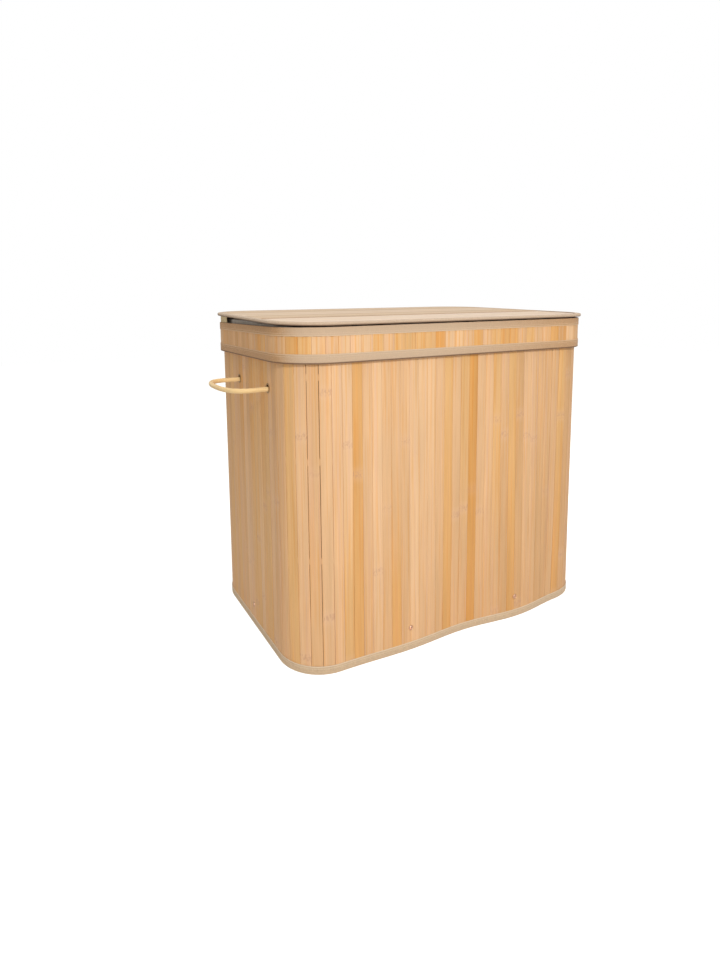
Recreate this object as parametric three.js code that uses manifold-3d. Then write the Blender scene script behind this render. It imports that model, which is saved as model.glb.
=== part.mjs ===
// Folding bamboo laundry hamper with two liner bags, in millimetres.
// +X runs along the long front to the right, -Y is the front, +Z is up.
// The origin is on the floor under the middle of the body.
import * as THREE from 'three';
import { mergeVertices } from 'three/addons/utils/BufferGeometryUtils.js';
import Module from 'manifold-3d';

const wasm = await Module();
wasm.setup();
const { Manifold } = wasm;

// Body: the curtain of upright slats
const bodyLength = 670;
const bodyDepth = 430;
const rimHeight = 584;
const cornerRadius = 80;
const slatPitch = 19;
const slatsPerCorner = 6;
const slatThickness = 2;
const clothThickness = 0.5;
const tapeThickness = 0.6;

// Seats and joints between pieces
const seatGap = 0.25;
const slatJoint = 0.3;
const cornerJoint = 0.6;
const jointDepth = 1.5;
const cutOverrun = 5;

// The wavy base line that the loose curtain takes between its rivets
const baseWave = 4.2;
const baseWaveGrowthShare = 0.0135;
const baseWaveLengthShare = 0.4;

// Tapes of the body
const baseTapeHeight = 15;
const rimTapeHeight = 14;

// Wire frames
const rimWireDiameter = 4;
const baseWireDiameter = 5;
const baseWireHeight = 28;
const baseWireClearance = 1.6;
const wireSides = 6;

// Divider rod and its hooks
const rodDiameter = 6;
const rodSides = 8;
const hookThickness = 1.5;
const hookReach = 1;
const notchClearance = 1;

// Rivets and the loops that carry the base wire
const rivetRise = 14;
const rivetSpotShares = [-0.17, 0.2];
const rivetHeadDiameter = 9;
const rivetHeadHeight = 1.5;
const rivetShankDiameter = 3;
const rivetCapDiameter = 7;
const rivetCapThickness = 1;
const rivetHoleClearance = 0.3;
const waveSlack = 0.2;
const rivetSides = 8;
const rivetDomeSteps = 3;
const loopWidth = 25;
const loopThickness = 1;
const loopTail = 6;

// Base board
const boardThickness = 3;
const boardClearance = 1.6;

// Liner bags
const linerThickness = 0.8;
const cuffDrop = 25;
const cuffSeam = 12;
const bagSideInset = 27;
const bagFrontClearance = 4.6;
const bagShoulderDrop = 80;
const strapWidth = 20;
const strapThickness = 0.6;
const strapLength = 30;
const strapSpotShares = [-0.3, -0.1, 0.1, 0.3];

// Collar
const collarSlide = 0.8;
const collarSlatThickness = 1.5;
const collarSlatPitch = 21.5;
const collarHeight = 59;
const collarWireDiameter = 4;
const upperTapeHeight = 14;
const lowerTapeHeight = 16;

// Lid and its cloth hinge
const lidOverhang = 4;
const lidBoardThickness = 2.4;
const lidSlatThickness = 1.8;
const lidSlatPitch = 20;
const lidTapeWidth = 12;
const lidFrontRise = 1.5;
const lidBackRise = 15.5;
const hingeInset = 2.5;
const hingeReturn = 30;
const hingeThickness = 0.8;

// Rope handles and their eyelets
const ropeDiameter = 8.8;
const ropeSides = 8;
const ropeSteps = 22;
const handleDrop = 99;
const handleFrontMargin = 27.5;
const handleBackMargin = 87.5;
const handleReach = 74;
const eyeletBore = 12.6;
const eyeletWall = 0.6;
const eyeletFlange = 2;
const eyeletSides = 12;
const knotDiameter = 19;
const knotLength = 16;
const knotSteps = 5;

// Plan of a handle's loop as shares of its reach and of half its spread
const loopShares = [
  [0, 1], [0.25, 1.02], [0.55, 1], [0.82, 0.84], [0.97, 0.45], [1, 0],
  [0.97, -0.45], [0.82, -0.84], [0.55, -1], [0.25, -1.02], [0, -1],
];

// Radial layers of the body, as offsets from the outer face of its slats
const backingOuter = -slatThickness - seatGap;
const backingInner = backingOuter - clothThickness;
const tapeOuter = seatGap + tapeThickness;
const rimTapeInner = backingInner - seatGap - tapeThickness;
const slatFoot = tapeThickness + seatGap;
const hookOuter = rimTapeInner - seatGap;
const rimWireCentre = hookOuter - hookThickness - seatGap - rimWireDiameter / 2;
const troughLip = rimWireCentre - rimWireDiameter / 2 - seatGap - tapeThickness;
const linerInset = -troughLip + seatGap;
const cuffInner = tapeOuter + seatGap;
const cuffOuter = cuffInner + linerThickness;

// Levels at the rim
const rimTapeTop = rimHeight + seatGap + tapeThickness;
const troughFloor = rimHeight - rimTapeHeight + tapeThickness;
const rimWireHeight = troughFloor + seatGap + rimWireDiameter / 2;
const rodHeight = rimWireHeight + rimWireDiameter / 2 + seatGap + rodDiameter / 2;
const cuffTop = rimTapeTop + seatGap + linerThickness;
const collarSeat = cuffTop + seatGap;
const collarWireHeight = collarSeat + tapeThickness + seatGap + collarWireDiameter / 2;
const collarTop = collarWireHeight + collarWireDiameter / 2 + seatGap + tapeThickness;
const collarBottom = collarTop - collarHeight;

// Radial layers of the collar
const collarTapeInner = cuffOuter + collarSlide;
const collarBackingInner = collarTapeInner + tapeThickness + seatGap;
const collarSlatInner = collarBackingInner + clothThickness + seatGap;
const collarSlatOuter = collarSlatInner + collarSlatThickness;
const collarOuter = collarSlatOuter + seatGap + tapeThickness;
const collarWireCentre = (cuffOuter + rimTapeInner) / 2;

// Lid
const lidOuter = collarOuter + lidOverhang;
const lidThickness = lidBoardThickness + seatGap + lidSlatThickness + 2 * (seatGap + tapeThickness);
const lidBackY = bodyDepth / 2 + lidOuter;
const lidFrontY = -lidBackY;
const lidBackZ = collarTop + lidBackRise;
const lidSlope = Math.atan((lidBackRise - lidFrontRise) / (lidBackY - lidFrontY));

// Looks of each finish
const finishes = {
  bamboo: new THREE.MeshStandardMaterial({ color: 0xe2b884, roughness: 0.55, metalness: 0 }),
  collarBamboo: new THREE.MeshStandardMaterial({ color: 0xe6b272, roughness: 0.55, metalness: 0 }),
  lidBamboo: new THREE.MeshStandardMaterial({ color: 0xd9bb94, roughness: 0.6, metalness: 0 }),
  backingCloth: new THREE.MeshStandardMaterial({ color: 0x8a6a4c, roughness: 0.95, metalness: 0 }),
  tape: new THREE.MeshStandardMaterial({ color: 0xb79a7c, roughness: 0.95, metalness: 0 }),
  hingeCloth: new THREE.MeshStandardMaterial({ color: 0xdac8a2, roughness: 0.95, metalness: 0 }),
  liner: new THREE.MeshStandardMaterial({ color: 0xe6e2dc, roughness: 0.95, metalness: 0 }),
  board: new THREE.MeshStandardMaterial({ color: 0x9c7a56, roughness: 0.85, metalness: 0 }),
  rope: new THREE.MeshStandardMaterial({ color: 0xe6c078, roughness: 0.85, metalness: 0 }),
  steel: new THREE.MeshStandardMaterial({ color: 0xa8a8a6, roughness: 0.35, metalness: 1 }),
};

const hamper = new THREE.Group();

function addPiece(name, geometry, finish, parent = hamper) {
  const mesh = new THREE.Mesh(geometry, finishes[finish]);
  mesh.name = name;
  parent.add(mesh);
  return mesh;
}

// Signed volume of an indexed geometry: positive when its faces point out
function signedVolume(geometry) {
  const place = geometry.attributes.position;
  const index = geometry.index;
  const [a, b, c] = [new THREE.Vector3(), new THREE.Vector3(), new THREE.Vector3()];
  let sum = 0;
  for (let i = 0; i < index.count; i += 3) {
    a.fromBufferAttribute(place, index.getX(i));
    b.fromBufferAttribute(place, index.getX(i + 1));
    c.fromBufferAttribute(place, index.getX(i + 2));
    sum += a.dot(b.cross(c));
  }
  return sum;
}

// A closed solid from points and triangles, turned so that its faces point out
function closedSolid(points, triangles) {
  const geometry = new THREE.BufferGeometry();
  const places = points.flatMap((p) => [p.x, p.y, p.z]);
  geometry.setAttribute('position', new THREE.Float32BufferAttribute(places, 3));
  geometry.setIndex(triangles.flat());
  if (signedVolume(geometry) < 0) {
    geometry.setIndex(triangles.flatMap(([a, b, c]) => [a, c, b]));
  }
  return geometry;
}

function toManifold(geometry) {
  const bare = geometry.clone();
  bare.deleteAttribute('normal');
  bare.deleteAttribute('uv');
  const merged = mergeVertices(bare);
  return new Manifold(new wasm.Mesh({
    numProp: 3,
    vertProperties: new Float32Array(merged.attributes.position.array),
    triVerts: new Uint32Array(merged.index.array),
  }));
}

function fromManifold(solid) {
  const cut = solid.getMesh();
  const geometry = new THREE.BufferGeometry();
  geometry.setAttribute('position', new THREE.BufferAttribute(new Float32Array(cut.vertProperties), 3));
  geometry.setIndex(new THREE.BufferAttribute(new Uint32Array(cut.triVerts), 1));
  return geometry;
}

function join(first, ...others) {
  return fromManifold(others.reduce((sum, next) => sum.add(toManifold(next)), toManifold(first)));
}

function cut(body, ...tools) {
  return fromManifold(tools.reduce((rest, tool) => rest.subtract(toManifold(tool)), toManifold(body)));
}

// The body's outline seen from above, counter-clockwise from the front's left end.
// Each station has a point on the slats' outer face and the way out from it.
function outline(longSteps, shortSteps) {
  const reachX = bodyLength / 2 - cornerRadius;
  const reachY = bodyDepth / 2 - cornerRadius;
  const sides = [
    { centre: [reachX, -reachY], from: [-reachX, -reachY], turn: -Math.PI / 2, steps: longSteps },
    { centre: [reachX, reachY], from: [reachX, -reachY], turn: 0, steps: shortSteps },
    { centre: [-reachX, reachY], from: [reachX, reachY], turn: Math.PI / 2, steps: longSteps },
    { centre: [-reachX, -reachY], from: [-reachX, reachY], turn: Math.PI, steps: shortSteps },
  ];
  const stations = [];
  for (const { centre, from, turn, steps } of sides) {
    for (let i = 0; i < steps; i += 1) {
      const share = i / steps;
      const x = from[0] + (centre[0] - from[0]) * share;
      const y = from[1] + (centre[1] - from[1]) * share;
      stations.push(station(x, y, turn));
    }
    for (let i = 0; i < slatsPerCorner; i += 1) {
      stations.push(station(centre[0], centre[1], turn + (Math.PI / 2) * (i / slatsPerCorner)));
    }
  }
  return stations;
}

function station(x, y, angle) {
  const out = new THREE.Vector2(Math.cos(angle), Math.sin(angle));
  return { place: new THREE.Vector2(x, y).addScaledVector(out, cornerRadius), out };
}

function offsetFrom({ place, out }, offset) {
  return place.clone().addScaledVector(out, offset);
}

// Sweeps a profile of [offset, height] points along stations. The profile is a
// list, or a function of the station that gives a list of the same length.
function sweep(stations, profile, closed) {
  const profileAt = typeof profile === 'function' ? profile : () => profile;
  const points = [];
  for (const spot of stations) {
    for (const [offset, height] of profileAt(spot)) {
      const p = offsetFrom(spot, offset);
      points.push(new THREE.Vector3(p.x, p.y, height));
    }
  }
  const count = profileAt(stations[0]).length;
  const spans = closed ? stations.length : stations.length - 1;
  const triangles = [];
  for (let i = 0; i < spans; i += 1) {
    const here = i * count;
    const there = ((i + 1) % stations.length) * count;
    for (let j = 0; j < count; j += 1) {
      const next = (j + 1) % count;
      const rises = points[here + next].z > points[here + j].z;
      triangles.push(...splitFace(here + j, there + j, there + next, here + next, rises));
    }
  }
  if (!closed) {
    const last = (stations.length - 1) * count;
    const face = profileAt(stations[0]).map(([offset, height]) => new THREE.Vector2(offset, height));
    for (const [a, b, c] of THREE.ShapeUtils.triangulateShape(face, [])) {
      const turned = THREE.ShapeUtils.isClockWise(face);
      triangles.push(turned ? [a, b, c] : [a, c, b]);
      triangles.push(turned ? [last + a, last + c, last + b] : [last + a, last + b, last + c]);
    }
  }
  return orientSweep(points, triangles, closed, count);
}

// Both faces of a thin wall are split along the same diagonal, so that the wall keeps its
// thickness where it sways
function splitFace(a, b, c, d, rises) {
  return rises ? [[a, b, c], [a, c, d]] : [[a, b, d], [b, c, d]];
}

// A wall between an outer and an inner edge, both drawn the same way round
function prism(outer, inner, low, high) {
  const edges = [...outer, ...inner];
  const points = [low, high].flatMap((z) => edges.map((p) => new THREE.Vector3(p.x, p.y, z)));
  const top = edges.length;
  const triangles = [];
  for (const [start, count] of [[0, outer.length], [outer.length, inner.length]]) {
    for (let i = start; i < start + count - 1; i += 1) {
      const faces = splitFace(i, i + 1, top + i + 1, top + i, true);
      triangles.push(...(start === 0 ? faces : faces.map(([a, b, c]) => [a, c, b])));
    }
  }
  const [outerEnd, innerStart, innerEnd] = [outer.length - 1, outer.length, top - 1];
  triangles.push(...splitFace(innerStart, 0, top, top + innerStart, true));
  triangles.push(...splitFace(outerEnd, innerEnd, top + innerEnd, top + outerEnd, true));
  const round = [...outer.keys(), ...[...inner.keys()].reverse().map((i) => innerStart + i)];
  for (const [a, b, c] of THREE.ShapeUtils.triangulateShape(round.map((i) => edges[i]), [])) {
    const [p, q, r] = [round[a], round[b], round[c]];
    triangles.push([p, r, q], [top + p, top + q, top + r]);
  }
  return closedSolid(points, triangles);
}

// Side faces and end faces are made with one sense, then checked by volume
function orientSweep(points, triangles, closed, count) {
  if (closed) {
    return closedSolid(points, triangles);
  }
  const sideTriangles = (points.length / count - 1) * count * 2;
  const matched = endsMatchSides(triangles, sideTriangles);
  const ends = triangles.slice(sideTriangles).map(([a, b, c]) => (matched ? [a, b, c] : [a, c, b]));
  return closedSolid(points, [...triangles.slice(0, sideTriangles), ...ends]);
}

// True when no directed edge is used twice, so that the ends face the same way as the sides
function endsMatchSides(triangles, sideCount) {
  const edges = new Set();
  for (const [a, b, c] of triangles.slice(0, sideCount)) {
    edges.add(`${a},${b}`);
    edges.add(`${b},${c}`);
    edges.add(`${c},${a}`);
  }
  return triangles.slice(sideCount).every(([a, b, c]) => (
    !edges.has(`${a},${b}`) && !edges.has(`${b},${c}`) && !edges.has(`${c},${a}`)
  ));
}

// Moves the curtain's lower part in and out, as its loose base line does
function waveAt(x, z) {
  const length = bodyLength * baseWaveLengthShare;
  const inward = (baseWave + baseWaveGrowthShare * x) * Math.cos((2 * Math.PI * x) / length);
  const beyond = Math.max(0, Math.abs(x) - (bodyLength / 2 - cornerRadius)) / cornerRadius;
  const fade = Math.sqrt(Math.max(0, 1 - beyond * beyond));
  return inward * fade * Math.max(0, 1 - z / rimHeight);
}

function sway(geometry) {
  const place = geometry.attributes.position;
  for (let i = 0; i < place.count; i += 1) {
    const y = place.getY(i);
    place.setY(i, y - Math.sign(y) * waveAt(place.getX(i), place.getZ(i)));
  }
  return geometry;
}

const longStraight = bodyLength - 2 * cornerRadius;
const shortStraight = bodyDepth - 2 * cornerRadius;
const longSlats = Math.round(longStraight / slatPitch);
const shortSlats = Math.round(shortStraight / slatPitch);
const slatStations = outline(longSlats, shortSlats);
const plainStations = outline(1, 1);

// Insets of what lies inside the wavy lower wall
const waveReach = Math.max(...slatStations.map(({ place }) => waveAt(place.x, baseWireHeight)));
const innerWall = waveReach - backingInner;
const baseWireInset = innerWall + baseWireClearance + baseWireDiameter / 2;
const boardInset = innerWall + boardClearance;
const bagFrontInset = innerWall + bagFrontClearance;

// The outer edge of a run of slats, with a narrow groove at each joint between two slats
function groovedEdge(stations, offset) {
  const edge = [];
  const last = stations.length - 1;
  stations.forEach((spot, i) => {
    const here = offsetFrom(spot, offset);
    const bend = isCorner(spot) ? cornerJoint : slatJoint;
    const lip = (neighbour) => (
      offsetFrom(neighbour, offset).sub(here).setLength(bend / 2).add(here)
    );
    if (i > 0) {
      edge.push(lip(stations[i - 1]));
    }
    if (i > 0 && i < last) {
      edge.push(offsetFrom(spot, offset - jointDepth * grooveShare(offset)));
    }
    if (i < last) {
      edge.push(lip(stations[i + 1]));
    }
  });
  return edge;
}

// The collar's slats are thinner, so their grooves are shallower
function grooveShare(offset) {
  return offset > 0 ? collarSlatThickness / slatThickness : 1;
}

function isCorner({ out }) {
  return Math.min(Math.abs(out.x), Math.abs(out.y)) > Math.sin(Math.PI / 4 / slatsPerCorner);
}

// A run of slats between two heights, from its outer face inwards
function slatRun(stations, outerFace, thickness, low, high) {
  const innerFace = outerFace - thickness;
  const outer = groovedEdge(stations, outerFace);
  const first = offsetFrom(stations[0], innerFace);
  const last = offsetFrom(stations[stations.length - 1], innerFace);
  const inner = stations.slice(1, -1).map((spot) => offsetFrom(spot, innerFace));
  const pullIn = (point, towards) => (
    point.clone().add(towards.clone().sub(point).setLength(slatJoint / 2))
  );
  const secondInner = inner.length ? inner[0] : last;
  const beforeLast = inner.length ? inner[inner.length - 1] : first;
  const innerEdge = [pullIn(first, secondInner), ...inner, pullIn(last, beforeLast)];
  return prism(outer, innerEdge, low, high);
}

// A cylinder whose axis runs along a wall's outward direction, for holes and tubes
function acrossWall(diameter, sides, from, to, spot, height) {
  const tool = new THREE.CylinderGeometry(diameter / 2, diameter / 2, to - from, sides);
  tool.rotateZ(-Math.PI / 2);
  tool.translate((from + to) / 2, 0, 0);
  return ontoWall(tool, spot, height);
}

// Turns a piece made along +X, with x as the offset from the wall, onto a wall
function ontoWall(geometry, { place, out }, height) {
  geometry.rotateZ(Math.atan2(out.y, out.x));
  return geometry.translate(place.x, place.y, height);
}

// Middle of the slat that is nearest to a wished place along a straight side
function slatMiddle(wished, straight, count) {
  const pitch = straight / count;
  return (Math.floor((wished + straight / 2) / pitch) + 1 / 2) * pitch - straight / 2;
}

const rivetHeight = baseWireHeight + rivetRise;
const [rivetLeftX, rivetRightX] = rivetSpotShares.map((share) => (
  slatMiddle(bodyLength * share, longStraight, longSlats)
));
const rivetSpots = [
  { name: 'front_left', x: rivetLeftX, y: -bodyDepth / 2, out: [0, -1] },
  { name: 'front_right', x: rivetRightX, y: -bodyDepth / 2, out: [0, -1] },
  { name: 'right', x: bodyLength / 2, y: 0, out: [1, 0] },
  { name: 'back_right', x: -rivetLeftX, y: bodyDepth / 2, out: [0, 1] },
  { name: 'back_left', x: -rivetRightX, y: bodyDepth / 2, out: [0, 1] },
  { name: 'left', x: -bodyLength / 2, y: 0, out: [-1, 0] },
].map(({ name, x, y, out }) => ({
  name,
  spot: { place: new THREE.Vector2(x, y), out: new THREE.Vector2(...out) },
  innerShift: out[0] ? 0 : Math.min(...outwardShifts(x, loopWidth)) - waveSlack,
  outerShift: out[0] ? 0 : Math.max(...outwardShifts(x, rivetHeadDiameter)),
}));

// How far the wavy wall stands out behind a piece of some width at a rivet
function outwardShifts(x, width) {
  const heights = [rivetHeight - rivetRise, rivetHeight + rivetRise];
  return [x - width / 2, x, x + width / 2].flatMap((place) => heights.map((z) => -waveAt(place, z)));
}

const handleSides = [
  { side: 'left', sign: -1 },
  { side: 'right', sign: 1 },
];
const handleEnds = [
  { end: 'front', y: -shortStraight / 2 + handleFrontMargin },
  { end: 'back', y: shortStraight / 2 - handleBackMargin },
];
const handleHeight = rimHeight - handleDrop;
const handleMiddle = (handleEnds[1].y + handleEnds[0].y) / 2;
const handleSpread = handleEnds[1].y - handleEnds[0].y;

function eyeletSpot(sign, y) {
  return { place: new THREE.Vector2((sign * bodyLength) / 2, y), out: new THREE.Vector2(sign, 0) };
}

// Holes through the wall for the rivets and the eyelets
function wallHoles() {
  const through = [-innerWall - cutOverrun, waveReach + cutOverrun];
  const hole = rivetShankDiameter + 2 * rivetHoleClearance;
  const rivets = rivetSpots.map(({ spot }) => (
    acrossWall(hole, rivetSides, ...through, spot, rivetHeight)
  ));
  const seat = eyeletBore + 2 * (eyeletWall + seatGap);
  const eyelets = handleSides.flatMap(({ sign }) => handleEnds.map(({ y }) => (
    acrossWall(seat, eyeletSides, ...through, eyeletSpot(sign, y), handleHeight)
  )));
  return [...rivets, ...eyelets];
}

// A ring of slats in eight runs, four flat ones and four round the corners
function ringRuns(longSteps, shortSteps) {
  const stations = outline(longSteps, shortSteps);
  const runs = [
    { name: 'front_slats', steps: longSteps },
    { name: 'corner_slats_front_right', steps: slatsPerCorner },
    { name: 'right_slats', steps: shortSteps },
    { name: 'corner_slats_back_right', steps: slatsPerCorner },
    { name: 'back_slats', steps: longSteps },
    { name: 'corner_slats_back_left', steps: slatsPerCorner },
    { name: 'left_slats', steps: shortSteps },
    { name: 'corner_slats_front_left', steps: slatsPerCorner },
  ];
  let first = 0;
  return runs.map(({ name, steps }) => {
    const start = first;
    first += steps;
    const picked = [];
    for (let i = start; i <= start + steps; i += 1) {
      picked.push(stations[i % stations.length]);
    }
    return { name, stations: picked };
  });
}

// Curtain: the runs of slats on one cloth
function addCurtain() {
  const holes = wallHoles();
  for (const { name, stations } of ringRuns(longSlats, shortSlats)) {
    const wavy = sway(slatRun(stations, 0, slatThickness, slatFoot, rimHeight));
    addPiece(name, name.startsWith('corner') ? wavy : cut(wavy, ...holes), 'bamboo');
  }
  const cloth = sweep(slatStations, [
    [backingOuter, slatFoot], [backingOuter, rimHeight],
    [backingInner, rimHeight], [backingInner, slatFoot],
  ], true);
  addPiece('backing_cloth', cut(sway(cloth), ...holes), 'backingCloth');
}

// Tape folded over the curtain's lower edge, on which the hamper stands
function addBaseTape() {
  const tape = sweep(slatStations, [
    [tapeOuter, 0], [tapeOuter, baseTapeHeight], [seatGap, baseTapeHeight], [seatGap, tapeThickness],
    [rimTapeInner + tapeThickness, tapeThickness], [rimTapeInner + tapeThickness, baseTapeHeight],
    [rimTapeInner, baseTapeHeight], [rimTapeInner, 0],
  ], true);
  addPiece('base_tape', sway(tape), 'tape');
}

// A tape over an edge, whose inner leg ends in an open hem with a wire in it
function hemmedTape({ outer, edge, top, foot, inner, hemFloor, lip, lipTop }) {
  return [
    [outer, foot], [outer, top], [inner, top], [inner, hemFloor + tapeThickness],
    [lip + tapeThickness, hemFloor + tapeThickness], [lip + tapeThickness, lipTop],
    [lip, lipTop], [lip, hemFloor], [inner + tapeThickness, hemFloor],
    [inner + tapeThickness, top - tapeThickness], [edge, top - tapeThickness], [edge, foot],
  ];
}

function addRim() {
  const hemFloor = rimHeight - rimTapeHeight;
  const profile = hemmedTape({
    outer: tapeOuter,
    edge: seatGap,
    top: rimTapeTop,
    foot: hemFloor,
    inner: rimTapeInner,
    hemFloor,
    lip: troughLip,
    lipTop: rimWireHeight,
  });
  const tape = sweep(plainStations, profile, true);
  const lipDepth = bodyDepth + 2 * (troughLip + tapeThickness + seatGap);
  const notch = new THREE.BoxGeometry(rodDiameter + 2 * notchClearance, lipDepth, rimTapeHeight);
  notch.translate(0, 0, hemFloor + tapeThickness + seatGap + rimTapeHeight / 2);
  addPiece('rim_tape', cut(tape, notch), 'tape');
  addPiece('rim_wire', wireHoop(rimWireCentre, rimWireHeight, rimWireDiameter), 'steel');
}

// A wire bent into the body's outline at an offset and a height
function wireHoop(offset, height, diameter) {
  const profile = [];
  for (let i = 0; i < wireSides; i += 1) {
    const angle = (2 * Math.PI * (i + 1 / 2)) / wireSides;
    profile.push([offset + Math.sin(angle) * diameter / 2, height + Math.cos(angle) * diameter / 2]);
  }
  return sweep(plainStations, profile, true);
}

// Rod across the middle with a hook over the rim wire at each end
function addDividerRod() {
  const halfLength = bodyDepth / 2 + hookOuter;
  const rod = new THREE.CylinderGeometry(rodDiameter / 2, rodDiameter / 2, 2 * halfLength, rodSides);
  rod.translate(0, 0, rodHeight);
  const hooks = [-1, 1].map((sign) => hook(sign));
  addPiece('divider_rod', join(rod, ...hooks), 'steel');
}

function hook(sign) {
  const wire = rimWireDiameter / 2 + seatGap;
  const inner = rimWireCentre - wire - hookThickness;
  const outerSide = bodyDepth / 2 + hookOuter;
  const legFoot = rimWireHeight - hookReach;
  const crown = rimWireHeight + wire;
  const shape = new THREE.Shape();
  shape.moveTo(bodyDepth / 2 + inner, legFoot);
  shape.lineTo(bodyDepth / 2 + inner, crown + hookThickness);
  shape.lineTo(outerSide, crown + hookThickness);
  shape.lineTo(outerSide, legFoot);
  shape.lineTo(bodyDepth / 2 + rimWireCentre + wire, legFoot);
  shape.lineTo(bodyDepth / 2 + rimWireCentre + wire, rimWireHeight);
  shape.absarc(bodyDepth / 2 + rimWireCentre, rimWireHeight, wire, 0, Math.PI, false);
  shape.lineTo(bodyDepth / 2 + rimWireCentre - wire, legFoot);
  const block = new THREE.ExtrudeGeometry(shape, {
    depth: rodDiameter,
    bevelEnabled: false,
    curveSegments: wireSides,
  });
  block.translate(0, 0, -rodDiameter / 2);
  block.rotateX(Math.PI / 2).rotateZ(Math.PI / 2);
  return sign > 0 ? block : block.rotateZ(Math.PI);
}

// Base wire, the loops that carry it, the rivets that hold the loops, and the board
function addBase() {
  addPiece('base_wire', wireHoop(-baseWireInset, baseWireHeight, baseWireDiameter), 'steel');
  for (const { name, spot, innerShift, outerShift } of rivetSpots) {
    addPiece(`wire_loop_${name}`, wireLoop(spot, innerShift), 'tape');
    addPiece(`rivet_${name}`, rivet(spot, innerShift, outerShift), 'steel');
  }
  const rise = baseWireHeight + baseWireDiameter / 2 + seatGap + loopThickness + seatGap;
  const shape = new THREE.Shape(plainStations.map((spot) => offsetFrom(spot, -boardInset)));
  const board = new THREE.ExtrudeGeometry(shape, { depth: boardThickness, bevelEnabled: false });
  addPiece('base_board', board.translate(0, 0, rise), 'board');
}

// A cloth loop round the base wire, with a tail up the wall that the rivet holds
function wireLoop(spot, shift) {
  const wall = backingInner - seatGap + shift;
  const bore = baseWireDiameter / 2 + seatGap;
  const skin = bore + loopThickness;
  const tailTop = rivetHeight + rivetCapDiameter / 2 + loopTail - rivetCapThickness;
  const shape = new THREE.Shape();
  shape.moveTo(wall, tailTop);
  shape.lineTo(wall - loopThickness, tailTop);
  shape.lineTo(wall - loopThickness, baseWireHeight + skin);
  shape.lineTo(-baseWireInset, baseWireHeight + skin);
  shape.absarc(-baseWireInset, baseWireHeight, skin, Math.PI / 2, (3 * Math.PI) / 2, false);
  shape.lineTo(wall, baseWireHeight - skin);
  const bight = new THREE.Path();
  bight.moveTo(wall - loopThickness, baseWireHeight + bore);
  bight.lineTo(wall - loopThickness, baseWireHeight - bore);
  bight.lineTo(-baseWireInset, baseWireHeight - bore);
  bight.absarc(-baseWireInset, baseWireHeight, bore, (3 * Math.PI) / 2, Math.PI / 2, true);
  shape.holes.push(bight);
  const band = new THREE.ExtrudeGeometry(shape, {
    depth: loopWidth,
    bevelEnabled: false,
    curveSegments: wireSides,
  });
  band.translate(0, 0, -loopWidth / 2).rotateX(Math.PI / 2);
  const hole = new THREE.CylinderGeometry(
    rivetShankDiameter / 2 + rivetHoleClearance,
    rivetShankDiameter / 2 + rivetHoleClearance,
    loopThickness + 2 * cutOverrun,
    rivetSides,
  );
  hole.rotateZ(Math.PI / 2).translate(wall, 0, rivetHeight);
  return ontoWall(cut(band, hole), spot, 0);
}

// Domed head outside, shank through the wall and the loop, flat cap inside
function rivet(spot, innerShift, outerShift) {
  const capFace = backingInner - seatGap - loopThickness - seatGap + innerShift;
  const headFace = seatGap + outerShift;
  const head = rivetHeadDiameter / 2;
  const shank = rivetShankDiameter / 2;
  const cap = rivetCapDiameter / 2;
  const profile = [
    new THREE.Vector2(0, capFace - rivetCapThickness),
    new THREE.Vector2(cap, capFace - rivetCapThickness),
    new THREE.Vector2(cap, capFace),
    new THREE.Vector2(shank, capFace),
    new THREE.Vector2(shank, headFace),
    new THREE.Vector2(head, headFace),
  ];
  for (let i = 1; i <= rivetDomeSteps; i += 1) {
    const angle = (Math.PI / 2) * (i / rivetDomeSteps);
    profile.push(new THREE.Vector2(head * Math.cos(angle), headFace + rivetHeadHeight * Math.sin(angle)));
  }
  profile[profile.length - 1].x = 0;
  return ontoWall(new THREE.LatheGeometry(profile, rivetSides).rotateZ(-Math.PI / 2), spot, rivetHeight);
}

// Liner bags. Each has a cuff over the rim on three sides and hangs from the rod on the fourth.
const bagEdge = rodDiameter / 2 + seatGap + strapThickness + seatGap;
const bagFloor = baseWireHeight + baseWireDiameter / 2 + 3 * seatGap + loopThickness + boardThickness;

// Stations round the left half of the body, from the middle of the back to the middle of the front
function halfStations() {
  const left = plainStations.filter(({ place }) => place.x < 0);
  const order = left.sort((p, q) => angleFromBack(p.place) - angleFromBack(q.place));
  const start = { place: new THREE.Vector2(-bagEdge, bodyDepth / 2), out: new THREE.Vector2(0, 1) };
  const stop = { place: new THREE.Vector2(-bagEdge, -bodyDepth / 2), out: new THREE.Vector2(0, -1) };
  return [start, ...order, stop];
}

function angleFromBack(place) {
  return Math.atan2(-place.x, place.y);
}

function bagRing(sideInset, frontInset, edge, height) {
  const ring = halfStations().map(({ place, out }) => (
    new THREE.Vector3(place.x - out.x * sideInset, place.y - out.y * frontInset, height)
  ));
  ring[0].x = -edge;
  ring[ring.length - 1].x = -edge;
  return ring;
}

// A closed solid from rings of points, with a flat face on the first and the last ring
function stack(rings) {
  const count = rings[0].length;
  const triangles = [];
  for (let i = 0; i < rings.length - 1; i += 1) {
    for (let j = 0; j < count; j += 1) {
      const next = (j + 1) % count;
      const [low, high] = [i * count, (i + 1) * count];
      triangles.push([low + j, low + next, high + next], [low + j, high + next, high + j]);
    }
  }
  const flat = (ring) => ring.map((p) => new THREE.Vector2(p.x, p.y));
  const turned = THREE.ShapeUtils.isClockWise(flat(rings[0]));
  const last = (rings.length - 1) * count;
  for (const [a, b, c] of THREE.ShapeUtils.triangulateShape(flat(rings[0]), [])) {
    triangles.push(turned ? [a, b, c] : [a, c, b]);
  }
  for (const [a, b, c] of THREE.ShapeUtils.triangulateShape(flat(rings[rings.length - 1]), [])) {
    triangles.push(turned ? [last + a, last + c, last + b] : [last + a, last + b, last + c]);
  }
  return closedSolid(rings.flat(), triangles);
}

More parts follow.
